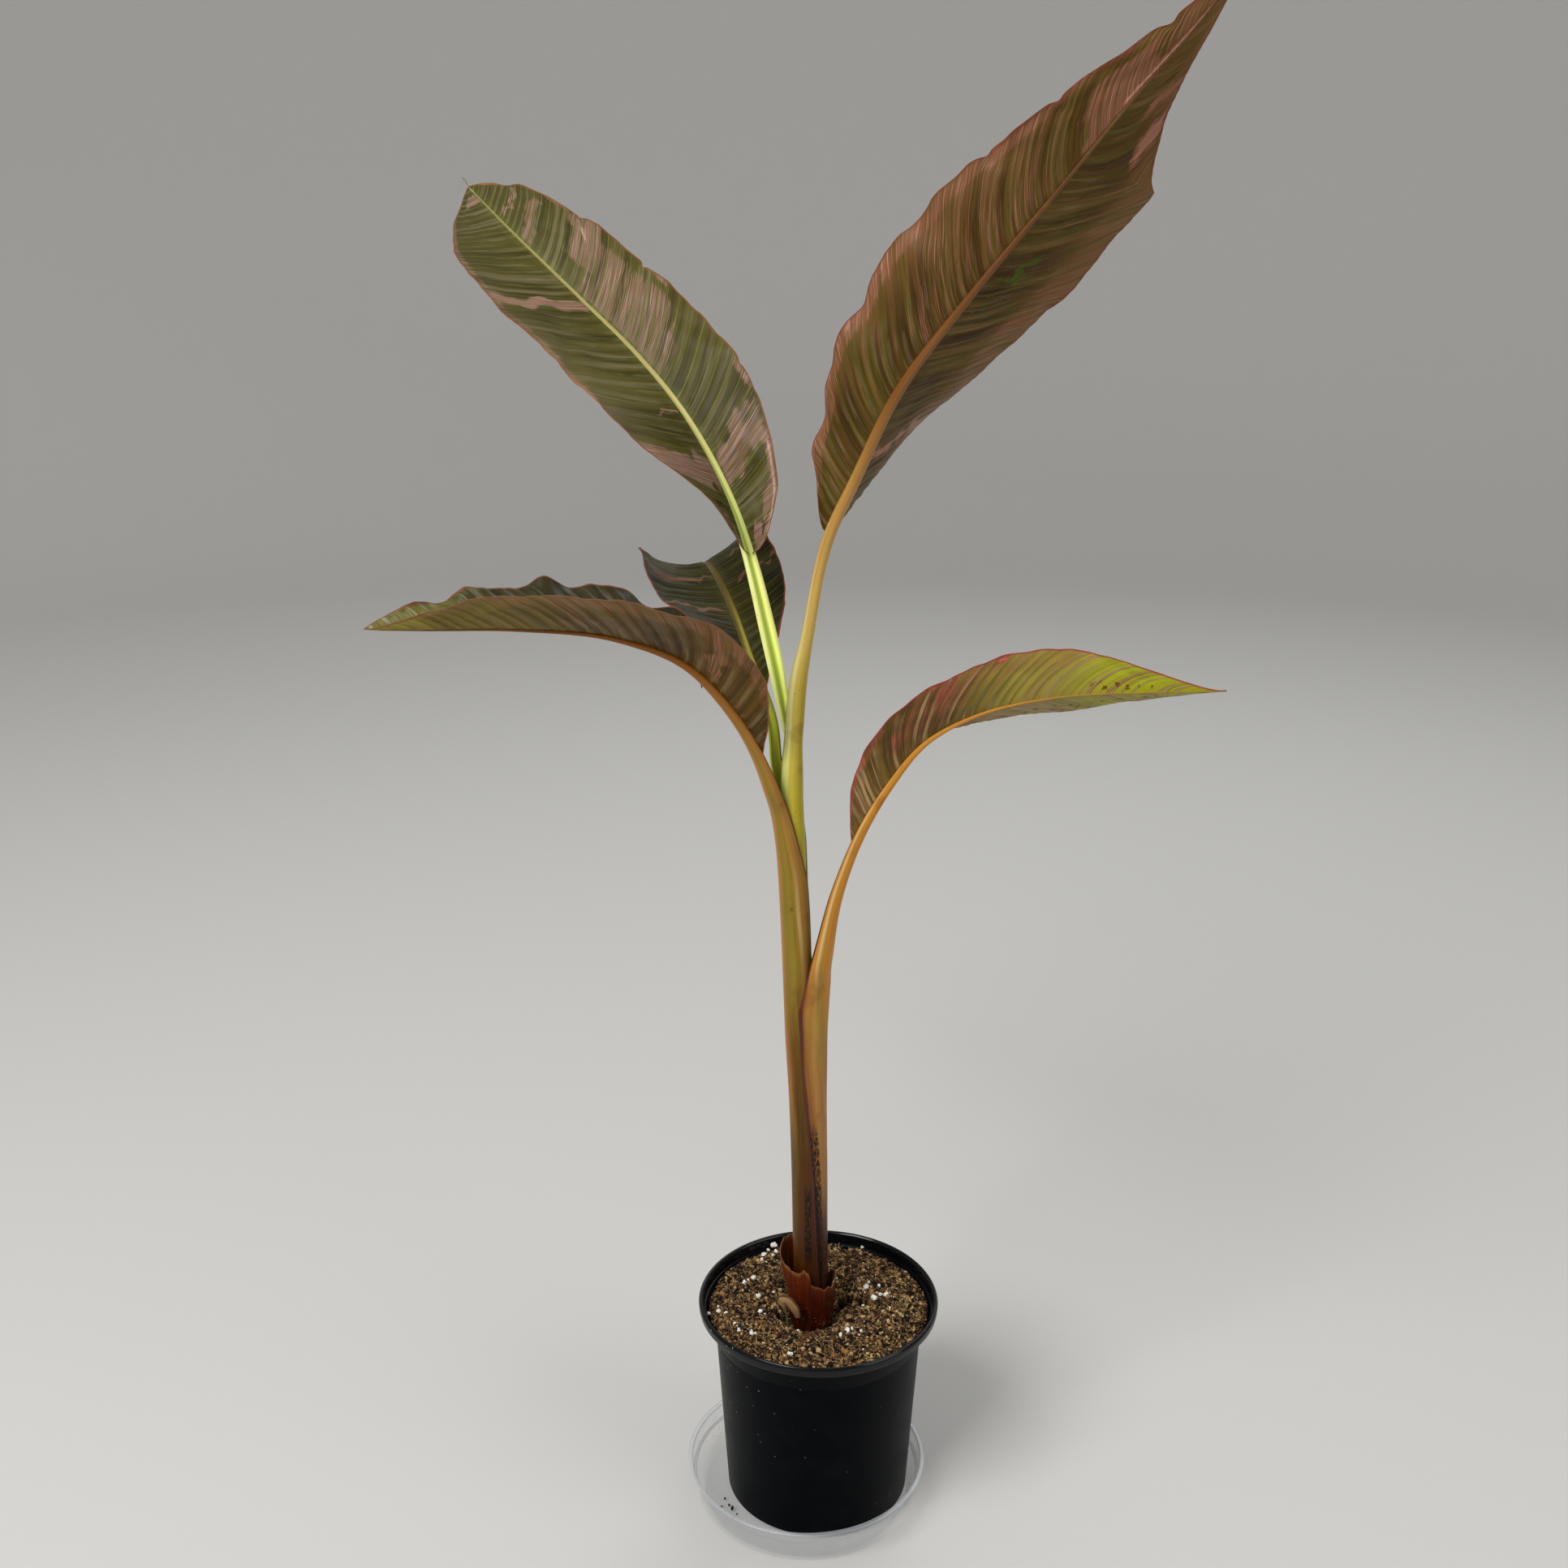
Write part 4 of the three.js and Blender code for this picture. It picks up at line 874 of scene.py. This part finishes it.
backRoll = [
    (372, (-13.1, 0.4), (7.4, 7.3), 214, -22, 0.7),
    (404, (-14.3, 0.4), (7.2, 7.2), 214, -18, 0.7),
    (430, (-15.2, 0.5), (7.3, 7.3), 212, -12, 0.7),
    (450, (-16.2, 0.6), (7.4, 7.4), 205, 4, 0.8),
    (466, (-17.6, 1.2), (7.5, 7.6), 196, 34, 0.9),
]
greenStalk = {
    "along": [(0.0, rgb(190, 186, 100)), (0.12, rgb(214, 222, 88)), (0.3, rgb(200, 212, 70)),
              (0.4, rgb(156, 154, 46)), (0.47, rgb(112, 94, 34)), (0.56, rgb(90, 72, 34)),
              (1.0, rgb(80, 64, 32))],
    "groove": rgb(208, 222, 70), "grooveShare": 0.9, "light": rgb(226, 234, 110), "lightShare": 0.35,
    "dark": rgb(104, 96, 32), "darkShare": 0.5, "edge": rgb(130, 112, 50), "roughness": 0.42,
}

leafPieces("back", backLeaf, [darkUpperPaint, maroonPaint],
           [stalkPaint("green_stalk", greenStalk)] * 2, "stalk_lime",
           ["blade_back_1", "blade_back_2", "blade_back_3"], ["stalk_back"], backRoll)


# what is left of the two first sheaths, wrapped round the stem's foot with torn tops, and a dry strip

sleeveShape = {"columns": 90, "rows": 56, "thick": 0.9, "foot": 118.3, "opensFrom": 124, "opensTo": 176}


def sleevePiece(name, sleeve, material):
    shape = (sleeveShape["rows"], sleeveShape["columns"])
    foot, seed = sleeveShape["foot"], sleeve["seed"]
    angle = np.linspace(*sleeve["turn"], shape[1])
    share, around = np.broadcast_arrays(np.linspace(0, 1, shape[0])[:, None], np.linspace(-1, 1, shape[1]))
    tears = 0.7 * wobble(angle / 36, seed) + 0.6 * np.abs(wobble(angle / 15, seed + 1)) ** 2
    height = foot + share * (along(sleeve["top"], angle) - tears - foot)
    opening = smooth(height, sleeveShape["opensFrom"], sleeveShape["opensTo"]) ** 1.2
    radius = along(sleeve["radius"], height) + sleeve["flare"] * along(sleeve["loose"], angle) * opening
    radius = radius + 0.3 * wobble(angle / 40 + 0.8 * share, seed + 2)
    toEdge = np.minimum(1, 0.3 + 4 * (1 - np.abs(around)))
    thick = sleeveShape["thick"] * (1 - 0.5 * smooth(share, 0.7, 1)) * toEdge
    turn = np.radians(angle)
    points = []
    for reach in (radius - thick, radius):
        x, y = sleeve["middle"][0] + reach * np.cos(turn), sleeve["middle"][1] + reach * np.sin(turn)
        points.append(np.stack([x, y, height], -1).reshape(-1, 3))
    place = np.stack([height - foot, around, share], -1).reshape(-1, 3)
    return meshPiece(name, np.vstack(points), np.vstack(shellFaces(*shape)), [material],
                     {"stalkPlace": np.vstack([place, place])}, sharp=70)


oldSheath = {
    "along": [(0.0, rgb(32, 8, 4)), (0.25, rgb(62, 16, 5)), (0.6, rgb(78, 25, 7)), (0.93, rgb(92, 38, 12)),
              (1.0, rgb(134, 86, 50))],
    "light": rgb(108, 42, 10), "lightShare": 0.4, "dark": rgb(22, 6, 4), "darkShare": 0.85,
    "edge": rgb(60, 20, 10), "roughness": 0.22, "specular": 0.35, "freckle": rgb(150, 112, 84),
    "fineShare": 0.5,
}
darkSheath = dict(oldSheath, light=rgb(96, 32, 8), along=[
    (0.0, rgb(40, 8, 6)), (0.4, rgb(52, 12, 4)), (0.8, rgb(66, 18, 6)), (0.95, rgb(82, 32, 12)),
    (1.0, rgb(120, 74, 44))])
# an old sheath's radius goes by height, and its torn top and how loose it is by the angle in degrees
leftOver = {
    "seed": 61, "turn": (118, 274), "middle": (-5.2, -0.4),
    "radius": [(118, 12.1), (130, 13.2), (150, 13.9), (178, 14.2)],
    "top": [(118, 175.5), (140, 175.3), (152, 174.6), (165, 173), (182, 170.5), (196, 167), (208, 165),
            (222, 164), (240, 163), (258, 165), (266, 162), (274, 154)],
    "flare": 5.2, "loose": [(118, 0.3), (150, 0.9), (185, 1.0), (215, 0.55), (245, 0.1), (274, 0.0)],
}
rightOver = {
    "seed": 67, "turn": (262, 412), "middle": (-4.4, -0.8),
    "radius": [(118, 12.7), (126, 14.0), (135, 14.5), (146, 15.1), (156, 14.9)],
    "top": [(262, 157), (275, 155), (290, 153), (315, 152), (332, 151), (350, 154), (375, 155), (412, 148)],
    "flare": 0.6, "loose": [(262, -1.4), (300, -0.6), (350, 1.0), (412, 0.4)],
}
ride(sleevePiece("sheath_old_left", leftOver, stalkPaint("old_sheath", oldSheath)), "old_sheath",
     "old_sheath_left")
ride(sleevePiece("sheath_old_right", rightOver, stalkPaint("dark_old_sheath", darkSheath)), "old_sheath",
     "old_sheath_right")

dryStrip = {
    "path": [[-19.5, -17, 119], [-19.6, -18, 131], [-21.4, -18, 142], [-23.4, -18, 146.6],
             [-20.8, -19, 147.4], [-17, -20, 144.4], [-14.6, -20.6, 140.4], [-13.2, -21, 136.4]],
    "wide": (0.6, -0.3, 0.7), "width": 7.4, "thickness": 0.5, "rows": 90, "columns": 13,
}


def stripPiece(name, strip, material):  # a thin curled strip, narrow at its foot and wide past its middle
    path = np.array(strip["path"], float)
    run = runOf(path)
    share = np.linspace(0, 1, strip["rows"])
    middle = hermite(run, path, share * run[-1])
    tangent = unit(np.gradient(middle, axis=0))
    wide = np.broadcast_to(np.array(strip["wide"]), tangent.shape)
    wide = unit(wide - (wide * tangent).sum(1)[:, None] * tangent)
    lift = np.cross(wide, tangent)
    across = np.linspace(-0.5, 0.5, strip["columns"])[None, :]
    width = strip["width"] * (0.18 + 0.82 * smooth(share, 0.46, 0.66) * (1 - 0.62 * smooth(share, 0.84, 1)))
    width = (width * (1 + 0.1 * wobble(share * 3, 5)))[:, None]
    dished = 0.16 * width * (4 * across**2 - 0.5)
    grid = middle[:, None] + (across * width)[..., None] * wide[:, None] + dished[..., None] * lift[:, None]
    shift = 0.5 * strip["thickness"] * lift[:, None]
    grow, around = np.broadcast_arrays(share[:, None], across * 2)
    place = np.stack([grow * run[-1], around, grow], -1).reshape(-1, 3)
    return meshPiece(name, np.vstack([(grid + shift).reshape(-1, 3), (grid - shift).reshape(-1, 3)]),
                     np.vstack(shellFaces(strip["rows"], strip["columns"])), [material],
                     {"stalkPlace": np.vstack([place, place])})


dryLook = {
    "along": [(0.0, rgb(56, 40, 26)), (0.5, rgb(88, 66, 44)), (0.62, rgb(168, 134, 92)),
              (0.84, rgb(150, 114, 76)), (1.0, rgb(96, 66, 42))],
    "light": rgb(204, 176, 132), "lightShare": 0.8, "dark": rgb(70, 46, 28), "darkShare": 1.0,
    "edge": rgb(60, 42, 26), "edgeFrom": 0.72, "roughness": 0.65, "specular": 0.08,
}
ride(stripPiece("dry_strip", dryStrip, stalkPaint("dry_husk", dryLook)), "dry_strip", "dry_strip")

tipThread = {
    "path": [[-213.5, 166, 808.5], [-215.6, 168, 811.2], [-216.6, 168, 813.2], [-218.8, 168, 815.2]],
    "wide": (0.7, -0.7, 0.1), "width": 1.0, "thickness": 0.4, "rows": 24, "columns": 5,
}
threadLook = dict(dryLook, along=[
    (0.0, rgb(150, 140, 80)), (0.5, rgb(186, 166, 122)), (1.0, rgb(214, 198, 170))])
ride(stripPiece("tip_thread", tipThread, stalkPaint("pale_thread", threadLook)), "blade_left_upper")
print("old sheaths")


# the pot and the saucer, turned from their profiles

def lathePiece(name, profile, middle, segments, material):
    profile = np.array(profile, float)
    angle = np.linspace(0, 2 * math.pi, segments, endpoint=False)
    radius, height = profile[:, 0:1], profile[:, 1:2]
    x, y = middle[0] + radius * np.cos(angle), middle[1] + radius * np.sin(angle)
    points = np.stack([x, y, np.broadcast_to(height, x.shape)], -1).reshape(-1, 3)
    return meshPiece(name, points, gridFaces(len(profile), segments, closed=True), [material], sharp=40)


def rounded(corners, radius=0.6):  # a profile with each corner turned into a small arc
    found = [corners[0]]
    for before, corner, after in zip(corners, corners[1:], corners[2:]):
        corner = np.array(corner, float)
        arms = [np.array(other) - corner for other in (before, after)]
        sizes = [np.linalg.norm(arm) for arm in arms]
        cut = min(radius, 0.4 * sizes[0], 0.4 * sizes[1])
        start, end = [corner + cut * arm / size for arm, size in zip(arms, sizes)]
        for u in (0, 0.25, 0.5, 0.75, 1):
            found.append(tuple((1 - u) ** 2 * start + 2 * u * (1 - u) * corner + u**2 * end))
    return found + [corners[-1]]


pot = {  # lip and dirt are heights in metres, and the profile's pairs are radius and height
    "segments": 180, "lip": (0.1315, 0.1325), "dirt": (0.02, 0.07),
    "profile": [(0.01, 3.9), (50, 3.9), (52, 1.9), (56.8, 1.9), (58.2, 3.5), (65.2, 116.2), (66.4, 117.4),
                (70.0, 130.4), (71.6, 132.0), (74.4, 132.0), (75.6, 132.8), (76.0, 137.2), (75.0, 138.8),
                (73.8, 138.6), (72.9, 137.4), (72.3, 131.6), (70.9, 130.6), (68.6, 127), (65.2, 117.4),
                (63.9, 116.2), (56.9, 5.6), (55, 4.9), (0.01, 4.9)],
}
saucer = {  # rim and ring are heights in metres
    "middle": (-7.4, -6.5), "segments": 160, "rim": (0.0237, 0.0246), "ring": (0.0148, 0.0163),
    "profile": [(0.01, 0.0), (66, 0.0), (69, 0.2), (70, 1.2), (72.4, 15.1), (73.4, 16.1), (75.2, 23.2),
                (76.6, 23.8), (77.0, 24.5), (76.6, 25.2), (74.3, 25.2), (73.6, 24.2), (72.2, 16.4),
                (71.2, 15.2), (68.9, 2.6), (67.1, 1.6), (58, 1.6), (57, 1.1), (54, 1.1), (53, 1.6),
                (0.01, 1.6)],
}


def blackPlastic():
    paint = Paint("black_plastic", 0.36, Specular_IOR_Level=0.04, Coat_Roughness=0.14)
    sideways, _, height = paint.split(paint.place())
    film = paint.noise(paint.place(), 60, 5, 0.6)
    dusty = paint.noise(paint.place(), 26, 4)
    upperLeft = (1 - sideways.above(-0.03, 0.01)) * height.above(0.05, 0.07)
    dots = 1 - paint.cells(paint.place(), 190).above(0.05, 0.1)
    specks = dots * (dusty.above(0.56, 0.62) * 0.5 + upperLeft * dusty.above(0.42, 0.5))
    lip = height.above(*pot["lip"])
    paint.colour = paint.mix(rgb(1, 3, 6), rgb(5, 8, 12), film.above(0.4, 0.75))
    paint.over(rgb(5, 7, 10), lip)
    paint.over(rgb(34, 28, 22), dusty.above(0.56, 0.75) * 0.3 * (1 - height.above(*pot["dirt"])))
    paint.over(rgb(170, 164, 150), specks * 0.8)
    paint.set(Base_Color=paint.colour, Roughness=0.3 + film * 0.16 + specks * 0.3, Coat_Weight=lip * 0.45)
    paint.bump(film, 0.0002, 0.3)
    return paint.material


def clearPlastic():  # see-through where it faces the eye; whiter and denser seen edge-on as a painted reflection, at the ring as a painted highlight line, at its rim partly painted highlight, and where peat grains stick
    paint = Paint("clear_plastic", 0.06, IOR=1.5, Specular_IOR_Level=0.8)
    facing = paint.start.node("ShaderNodeLayerWeight", None, {"Blend": 0.3}, "Facing")
    smear = paint.noise(paint.place(), 40, 4)
    grains = 1 - paint.cells(paint.place(), 260).above(0.06, 0.16)
    stuck = grains * paint.noise(paint.place(), 22, 2).above(0.52, 0.62)  # grains of peat
    height = paint.split(paint.place())[2]
    marks = [height.above(*saucer["rim"]), height.between(*saucer["ring"], 0.0005, 0.0005), stuck]
    # alpha: the edge-on whitening is a painted reflection, the ring's line a painted highlight, the rim's
    # band whitish plastic with a painted highlight, and the grains of peat real
    thickness = 0.05 + facing * facing * facing * 0.34
    for mark in marks:
        thickness = thickness + mark * 0.4
    paint.set(Base_Color=paint.mix(rgb(196, 200, 204), rgb(110, 88, 70), stuck),
              Roughness=0.06 + smear.above(0.5, 0.8) * 0.12, Alpha=thickness)
    return paint.material


ride(lathePiece("pot_shell", rounded(pot["profile"]), (0, 0), pot["segments"], blackPlastic()), "pot", "pot")
ride(lathePiece("saucer_shell", rounded(saucer["profile"], 0.5), saucer["middle"], saucer["segments"],
                clearPlastic()), "saucer", "saucer")
print("pot and saucer")


# the soil: a rough disc of peat, with crumbs, fibres and white grains lying on it

soil = {
    "seed": 71, "top": 130.6, "foot": 118.2, "radius": 69.8, "footRadius": 64.4, "stem": (-5, -1),
    "rings": 100, "segments": 280,
    "holes": [(18, 8.5, 12, 18), (-23, -2, 8, 16), (29, 5, 7, 9)],  # x, y, depth, width squared
    "paintedShadeFrom": 1.6,  # how deep in a hole all the peat is given the darkest paint, as painted shade
}
peat = {  # draw, power, scale and least give the sizes, and tones are the shares of the four peat paints
    "dust": {
        "count": 20000, "clear": 12.2, "reach": 69.2, "draw": (0.25, 0.75), "power": 1, "scale": 1,
        "least": 0, "rise": 1.2, "detail": 0, "stretch": (0.5, 1.7), "tones": (0.31, 0.32, 0.25, 0.12)},
    "crumbs": {
        "count": 5200, "clear": 12.6, "reach": 68.6, "draw": (0.35, 1.0), "power": 2, "scale": 1.3,
        "least": 0.3, "rise": 0.8, "detail": 1, "stretch": (0.55, 1.5), "tones": (0.34, 0.34, 0.22, 0.1)},
}
perlite = {  # loose specks, and clusters given as x, y and how many grains
    "specks": 150, "clear": 16, "reach": 66, "spread": 0.6, "speckSize": (0.3, 0.8),
    "grainSize": (1.1, 2.2), "stretch": (0.55, 1.15),
    "clusters": [(-30, 65, 4), (-32, 52, 3), (-44, 28, 3), (-43, 10, 2), (-30, 15, 1), (-37, -7, 1),
                 (-62, -6, 4), (-48, -25, 2), (-39, -33, 2), (-19, -54, 2), (35, 17, 4), (36, 5, 3),
                 (45, 9, 1), (23, -26, 3), (8, -13, 1), (15, -31, 1), (46, -5, 1), (32, 68, 1),
                 (-13, -17, 1)],
}
fibre = {
    "count": 6400, "clear": 13, "reach": 67, "edge": 68.4, "steps": 6, "sides": 3, "longest": 7,
    "shortest": 1.8, "thick": (0.14, 0.34),
}
spilt = [  # crumbs in the saucer: x, y, height and size
    (-55, -33, 2.6, 1.2), (-60, -24, 2.4, 0.7), (-57, -30, 2.4, 0.9), (-52, -38, 2.3, 0.6),
    (-62, -31, 2.3, 0.8),
]


def hollow(x, y):  # how deep the dark holes beside the stem are
    return sum(depth * np.exp(-((x - holeX) ** 2 + (y - holeY) ** 2) / wide)
               for holeX, holeY, depth, wide in soil["holes"])


def soilHeight(x, y):
    rough = 1.6 * wobble(x / 36 + 2.0, 72) * wobble(y / 30, 73)
    rough = rough + 1.1 * wobble((x + y) / 17, 74) * wobble((x - y) / 14, 75)
    fromStem = np.hypot(x - soil["stem"][0], y - soil["stem"][1])
    moat = -7.4 * (1 - smooth(fromStem, 13, 24)) - 4.6 * (1 - smooth(fromStem, 16, 40))
    return soil["top"] + rough * smooth(fromStem, 14, 26) + moat - hollow(x, y)


def onSoil(x, y):
    return np.stack([x, y, soilHeight(x, y)], -1)


def soilPiece(material):
    radius = soil["radius"] * np.linspace(0.004, 1, soil["rings"])[:, None]
    angle = np.linspace(0, 2 * math.pi, soil["segments"], endpoint=False)
    top = onSoil(radius * np.cos(angle), radius * np.sin(angle))
    top[..., 2] += np.random.default_rng(soil["seed"]).normal(0, 0.5, top.shape[:2])
    foot = np.stack([soil["footRadius"] * np.cos(angle), soil["footRadius"] * np.sin(angle),
                     np.full(len(angle), soil["foot"])], -1)
    rows = np.concatenate([top, foot[None], foot[None] * [0.01, 0.01, 1]])
    faces = gridFaces(len(rows), soil["segments"], closed=True)
    return meshPiece("soil_bed", rows.reshape(-1, 3), faces, [material], sharp=0)


def lumps(name, places, sizes, materials, random, detail, stretch, kinds=None):  # rough turned balls
    if detail:
        made = bmesh.new()
        bmesh.ops.create_icosphere(made, subdivisions=detail, radius=1)
        ball = np.array([v.co[:] for v in made.verts])
        faces = np.array([[v.index for v in f.verts] for f in made.faces])
        made.free()
    else:
        ball = np.vstack([np.eye(3), -np.eye(3)])  # six corners, joined round the corners 2 and 5
        around = (0, 1, 3, 4)
        faces = [[a, b, 2] for a, b in zip(around, around[1:] + around[:1])]
        faces = np.array(faces + [[b, a, 5] for a, b, _ in faces])
    count = len(places)
    rough = 1 + random.uniform(-0.28, 0.28, (count, len(ball), 1))
    scale = random.uniform(*stretch, (count, 1, 3))
    spin = np.array([np.array(Euler(random.uniform(0, 6.28, 3).tolist()).to_matrix()) for _ in range(count)])
    points = (ball[None] * rough * scale) * np.asarray(sizes)[:, None, None]
    points = np.einsum("nij,nkj->nki", spin, points) + np.asarray(places)[:, None]
    kinds = random.integers(0, len(materials), count) if kinds is None else kinds
    return manyPiece(name, points, faces, materials, kinds)


def manyPiece(name, points, faces, materials, kinds):  # many small things with the same faces, one for a row
    shifts = (np.arange(len(points)) * points.shape[1])[:, None, None]
    together = (faces[None] + shifts).reshape(-1, faces.shape[1])
    kinds = np.repeat(kinds, len(faces))
    return meshPiece(name, points.reshape(-1, 3), together, materials, None, kinds, sharp=0)


def scattered(random, count, clear, reach, spread=0.5):  # places on the soil, clear of the stem
    angle = random.uniform(0, 2 * math.pi, count)
    radius = reach * random.uniform(0, 1, count) ** spread
    x, y = radius * np.cos(angle), radius * np.sin(angle)
    keep = np.hypot(x - soil["stem"][0], y - soil["stem"][1]) > clear
    return onSoil(x[keep], y[keep])


def fibrePiece(name, places, random, materials):
    count, steps, sides = len(places), fibre["steps"], fibre["sides"]
    length = (random.uniform(0.0, 1.0, count) ** 3 * fibre["longest"] + fibre["shortest"])[:, None]
    heading = random.uniform(0, 2 * math.pi, count)[:, None]
    climb = random.uniform(-0.2, 0.6, count)[:, None]
    bend = random.uniform(-0.5, 0.5, count)[:, None]
    thick = random.uniform(*fibre["thick"], count)[:, None]
    s = np.linspace(-0.5, 0.5, steps)[None, :]
    turn = heading + bend * s * 3
    x = places[:, 0:1] + length * s * np.cos(turn)
    y = places[:, 1:2] + length * s * np.sin(turn)
    inside = np.minimum(1, fibre["edge"] / np.hypot(x, y))
    line = onSoil(x * inside, y * inside)
    line[..., 2] += 0.6 + length * (s + 0.3) * climb
    corner = np.linspace(0, 2 * math.pi, sides, endpoint=False)[:, None]
    across = np.stack([-np.sin(turn), np.cos(turn), np.zeros_like(turn)], -1)[:, :, None]
    width = (thick * (1 - 3.2 * s**2))[..., None, None]
    points = line[:, :, None] + width * (np.cos(corner) * across + np.sin(corner) * np.array([0, 0, 1.0]))
    points = points.reshape(count, -1, 3)
    kinds = random.integers(0, len(materials), count)
    return manyPiece(name, points, gridFaces(steps, sides, closed=True), materials, kinds)


def earth(name, first, second, grain=900):  # mottled between two tones
    paint = Paint(name, 0.9, Specular_IOR_Level=0.2)
    mottled = paint.noise(paint.place(), grain, 4, 0.7)
    paint.set(Base_Color=paint.mix(first, second, mottled.above(0.35, 0.65)))
    paint.bump(mottled, 0.0006, 0.8)
    return paint.material


peatPaints = [
    earth("peat_dark", rgb(12, 8, 5), rgb(34, 22, 13)),
    earth("peat_brown", rgb(66, 46, 27), rgb(96, 69, 42)),
    earth("peat_gold", rgb(128, 96, 58), rgb(162, 124, 78)),
    earth("peat_straw", rgb(168, 136, 90), rgb(206, 174, 122)),
]
ride(soilPiece(earth("peat", rgb(14, 9, 5), rgb(44, 29, 17), 500)), "soil", "soil")

random = np.random.default_rng(soil["seed"] + 1)
for name, grit in peat.items():
    places = scattered(random, grit["count"], grit["clear"], grit["reach"])
    sizes = random.uniform(*grit["draw"], len(places)) ** grit["power"] * grit["scale"] + grit["least"]
    places[:, 2] += random.uniform(-0.2, grit["rise"], len(places)) * sizes
    kinds = random.choice(len(peatPaints), len(places), p=grit["tones"])
    # painted shade: crumbs deep in the holes take the darkest peat paint
    kinds[hollow(places[:, 0], places[:, 1]) > soil["paintedShadeFrom"]] = 0
    ride(lumps(name, places, sizes, peatPaints, random, grit["detail"], grit["stretch"], kinds), "soil")

places = [scattered(random, perlite["specks"], perlite["clear"], perlite["reach"], perlite["spread"])]
for x, y, count in perlite["clusters"]:
    near = np.array([x, y]) + random.normal(0, 0.9 + 0.75 * count, (count, 2))
    places.append(onSoil(near[:, 0], near[:, 1]))
sizes = [random.uniform(*perlite["speckSize"], len(places[0]))]
sizes += [random.uniform(*perlite["grainSize"], len(cluster)) for cluster in places[1:]]
places, sizes = np.vstack(places), np.concatenate(sizes)
places[:, 2] += 0.4 * sizes + 0.5
grainPaint = earth("perlite", rgb(214, 208, 194), rgb(250, 246, 236), 700)
ride(lumps("white_grains", places, sizes, [grainPaint], random, 2, perlite["stretch"]), "soil")

fibrePlaces = scattered(random, fibre["count"], fibre["clear"], fibre["reach"])
ride(fibrePiece("fibres", fibrePlaces, random, peatPaints), "soil")
spiltPlaces, spiltSizes = np.array(spilt)[:, :3], np.array(spilt)[:, 3]
ride(lumps("spilt_crumbs", spiltPlaces, spiltSizes, peatPaints[:2], random, 2, (0.6, 1.4)), "soil")
print("soil")


# the floor, which rises into a pale wall far behind, and the lights of a window on the left

floor = {"flat": 3.2, "bend": 1.2, "rise": 3.0, "segments": 96}
rings = [(r, 0.0) for r in (0.02, 0.3, 0.8, 1.6, 2.4, floor["flat"])]
rings += [(floor["flat"] + floor["bend"] * math.sin(a), floor["bend"] * (1 - math.cos(a)))
          for a in np.radians(np.linspace(10, 90, 10))]
rings += [(floor["flat"] + floor["bend"], floor["rise"])]
floorPaint = Paint("pale_floor", 0.85, Base_Color=rgb(206, 205, 202))
sweep = lathePiece("floor_sweep", np.array(rings) * 1000, (0, 0), floor["segments"], floorPaint.material)

room = {"Color": (0.98, 0.99, 1.0, 1), "Strength": 0.34}
world = bpy.data.worlds.new("room")
world.use_nodes = True
for name, value in room.items():
    world.node_tree.nodes["Background"].inputs[name].default_value = value
scene.world = world

aim = Vector((0, 0, 0.45))  # the middle of the plant
lamps = {
    "window": {"place": (-1.5, -1.6, 2.4), "size": 1.5, "power": 78, "colour": (1.0, 0.99, 0.97)},
    "fill": {"place": (2.0, -1.2, 1.5), "size": 1.6, "power": 16, "colour": (1.0, 0.97, 0.94)},
    "back": {"place": (0.6, 1.8, 2.2), "size": 1.4, "power": 14, "colour": (0.96, 0.98, 1.0)},
}
for name, lamp in lamps.items():
    light = bpy.data.lights.new(name, "AREA")
    light.energy, light.size, light.color = lamp["power"], lamp["size"], lamp["colour"]
    holder = bpy.data.objects.new(name, light)
    holder.location = lamp["place"]
    holder.rotation_euler = (aim - Vector(lamp["place"])).to_track_quat("-Z", "Y").to_euler()
    scene.collection.objects.link(holder)
print("floor and lights")
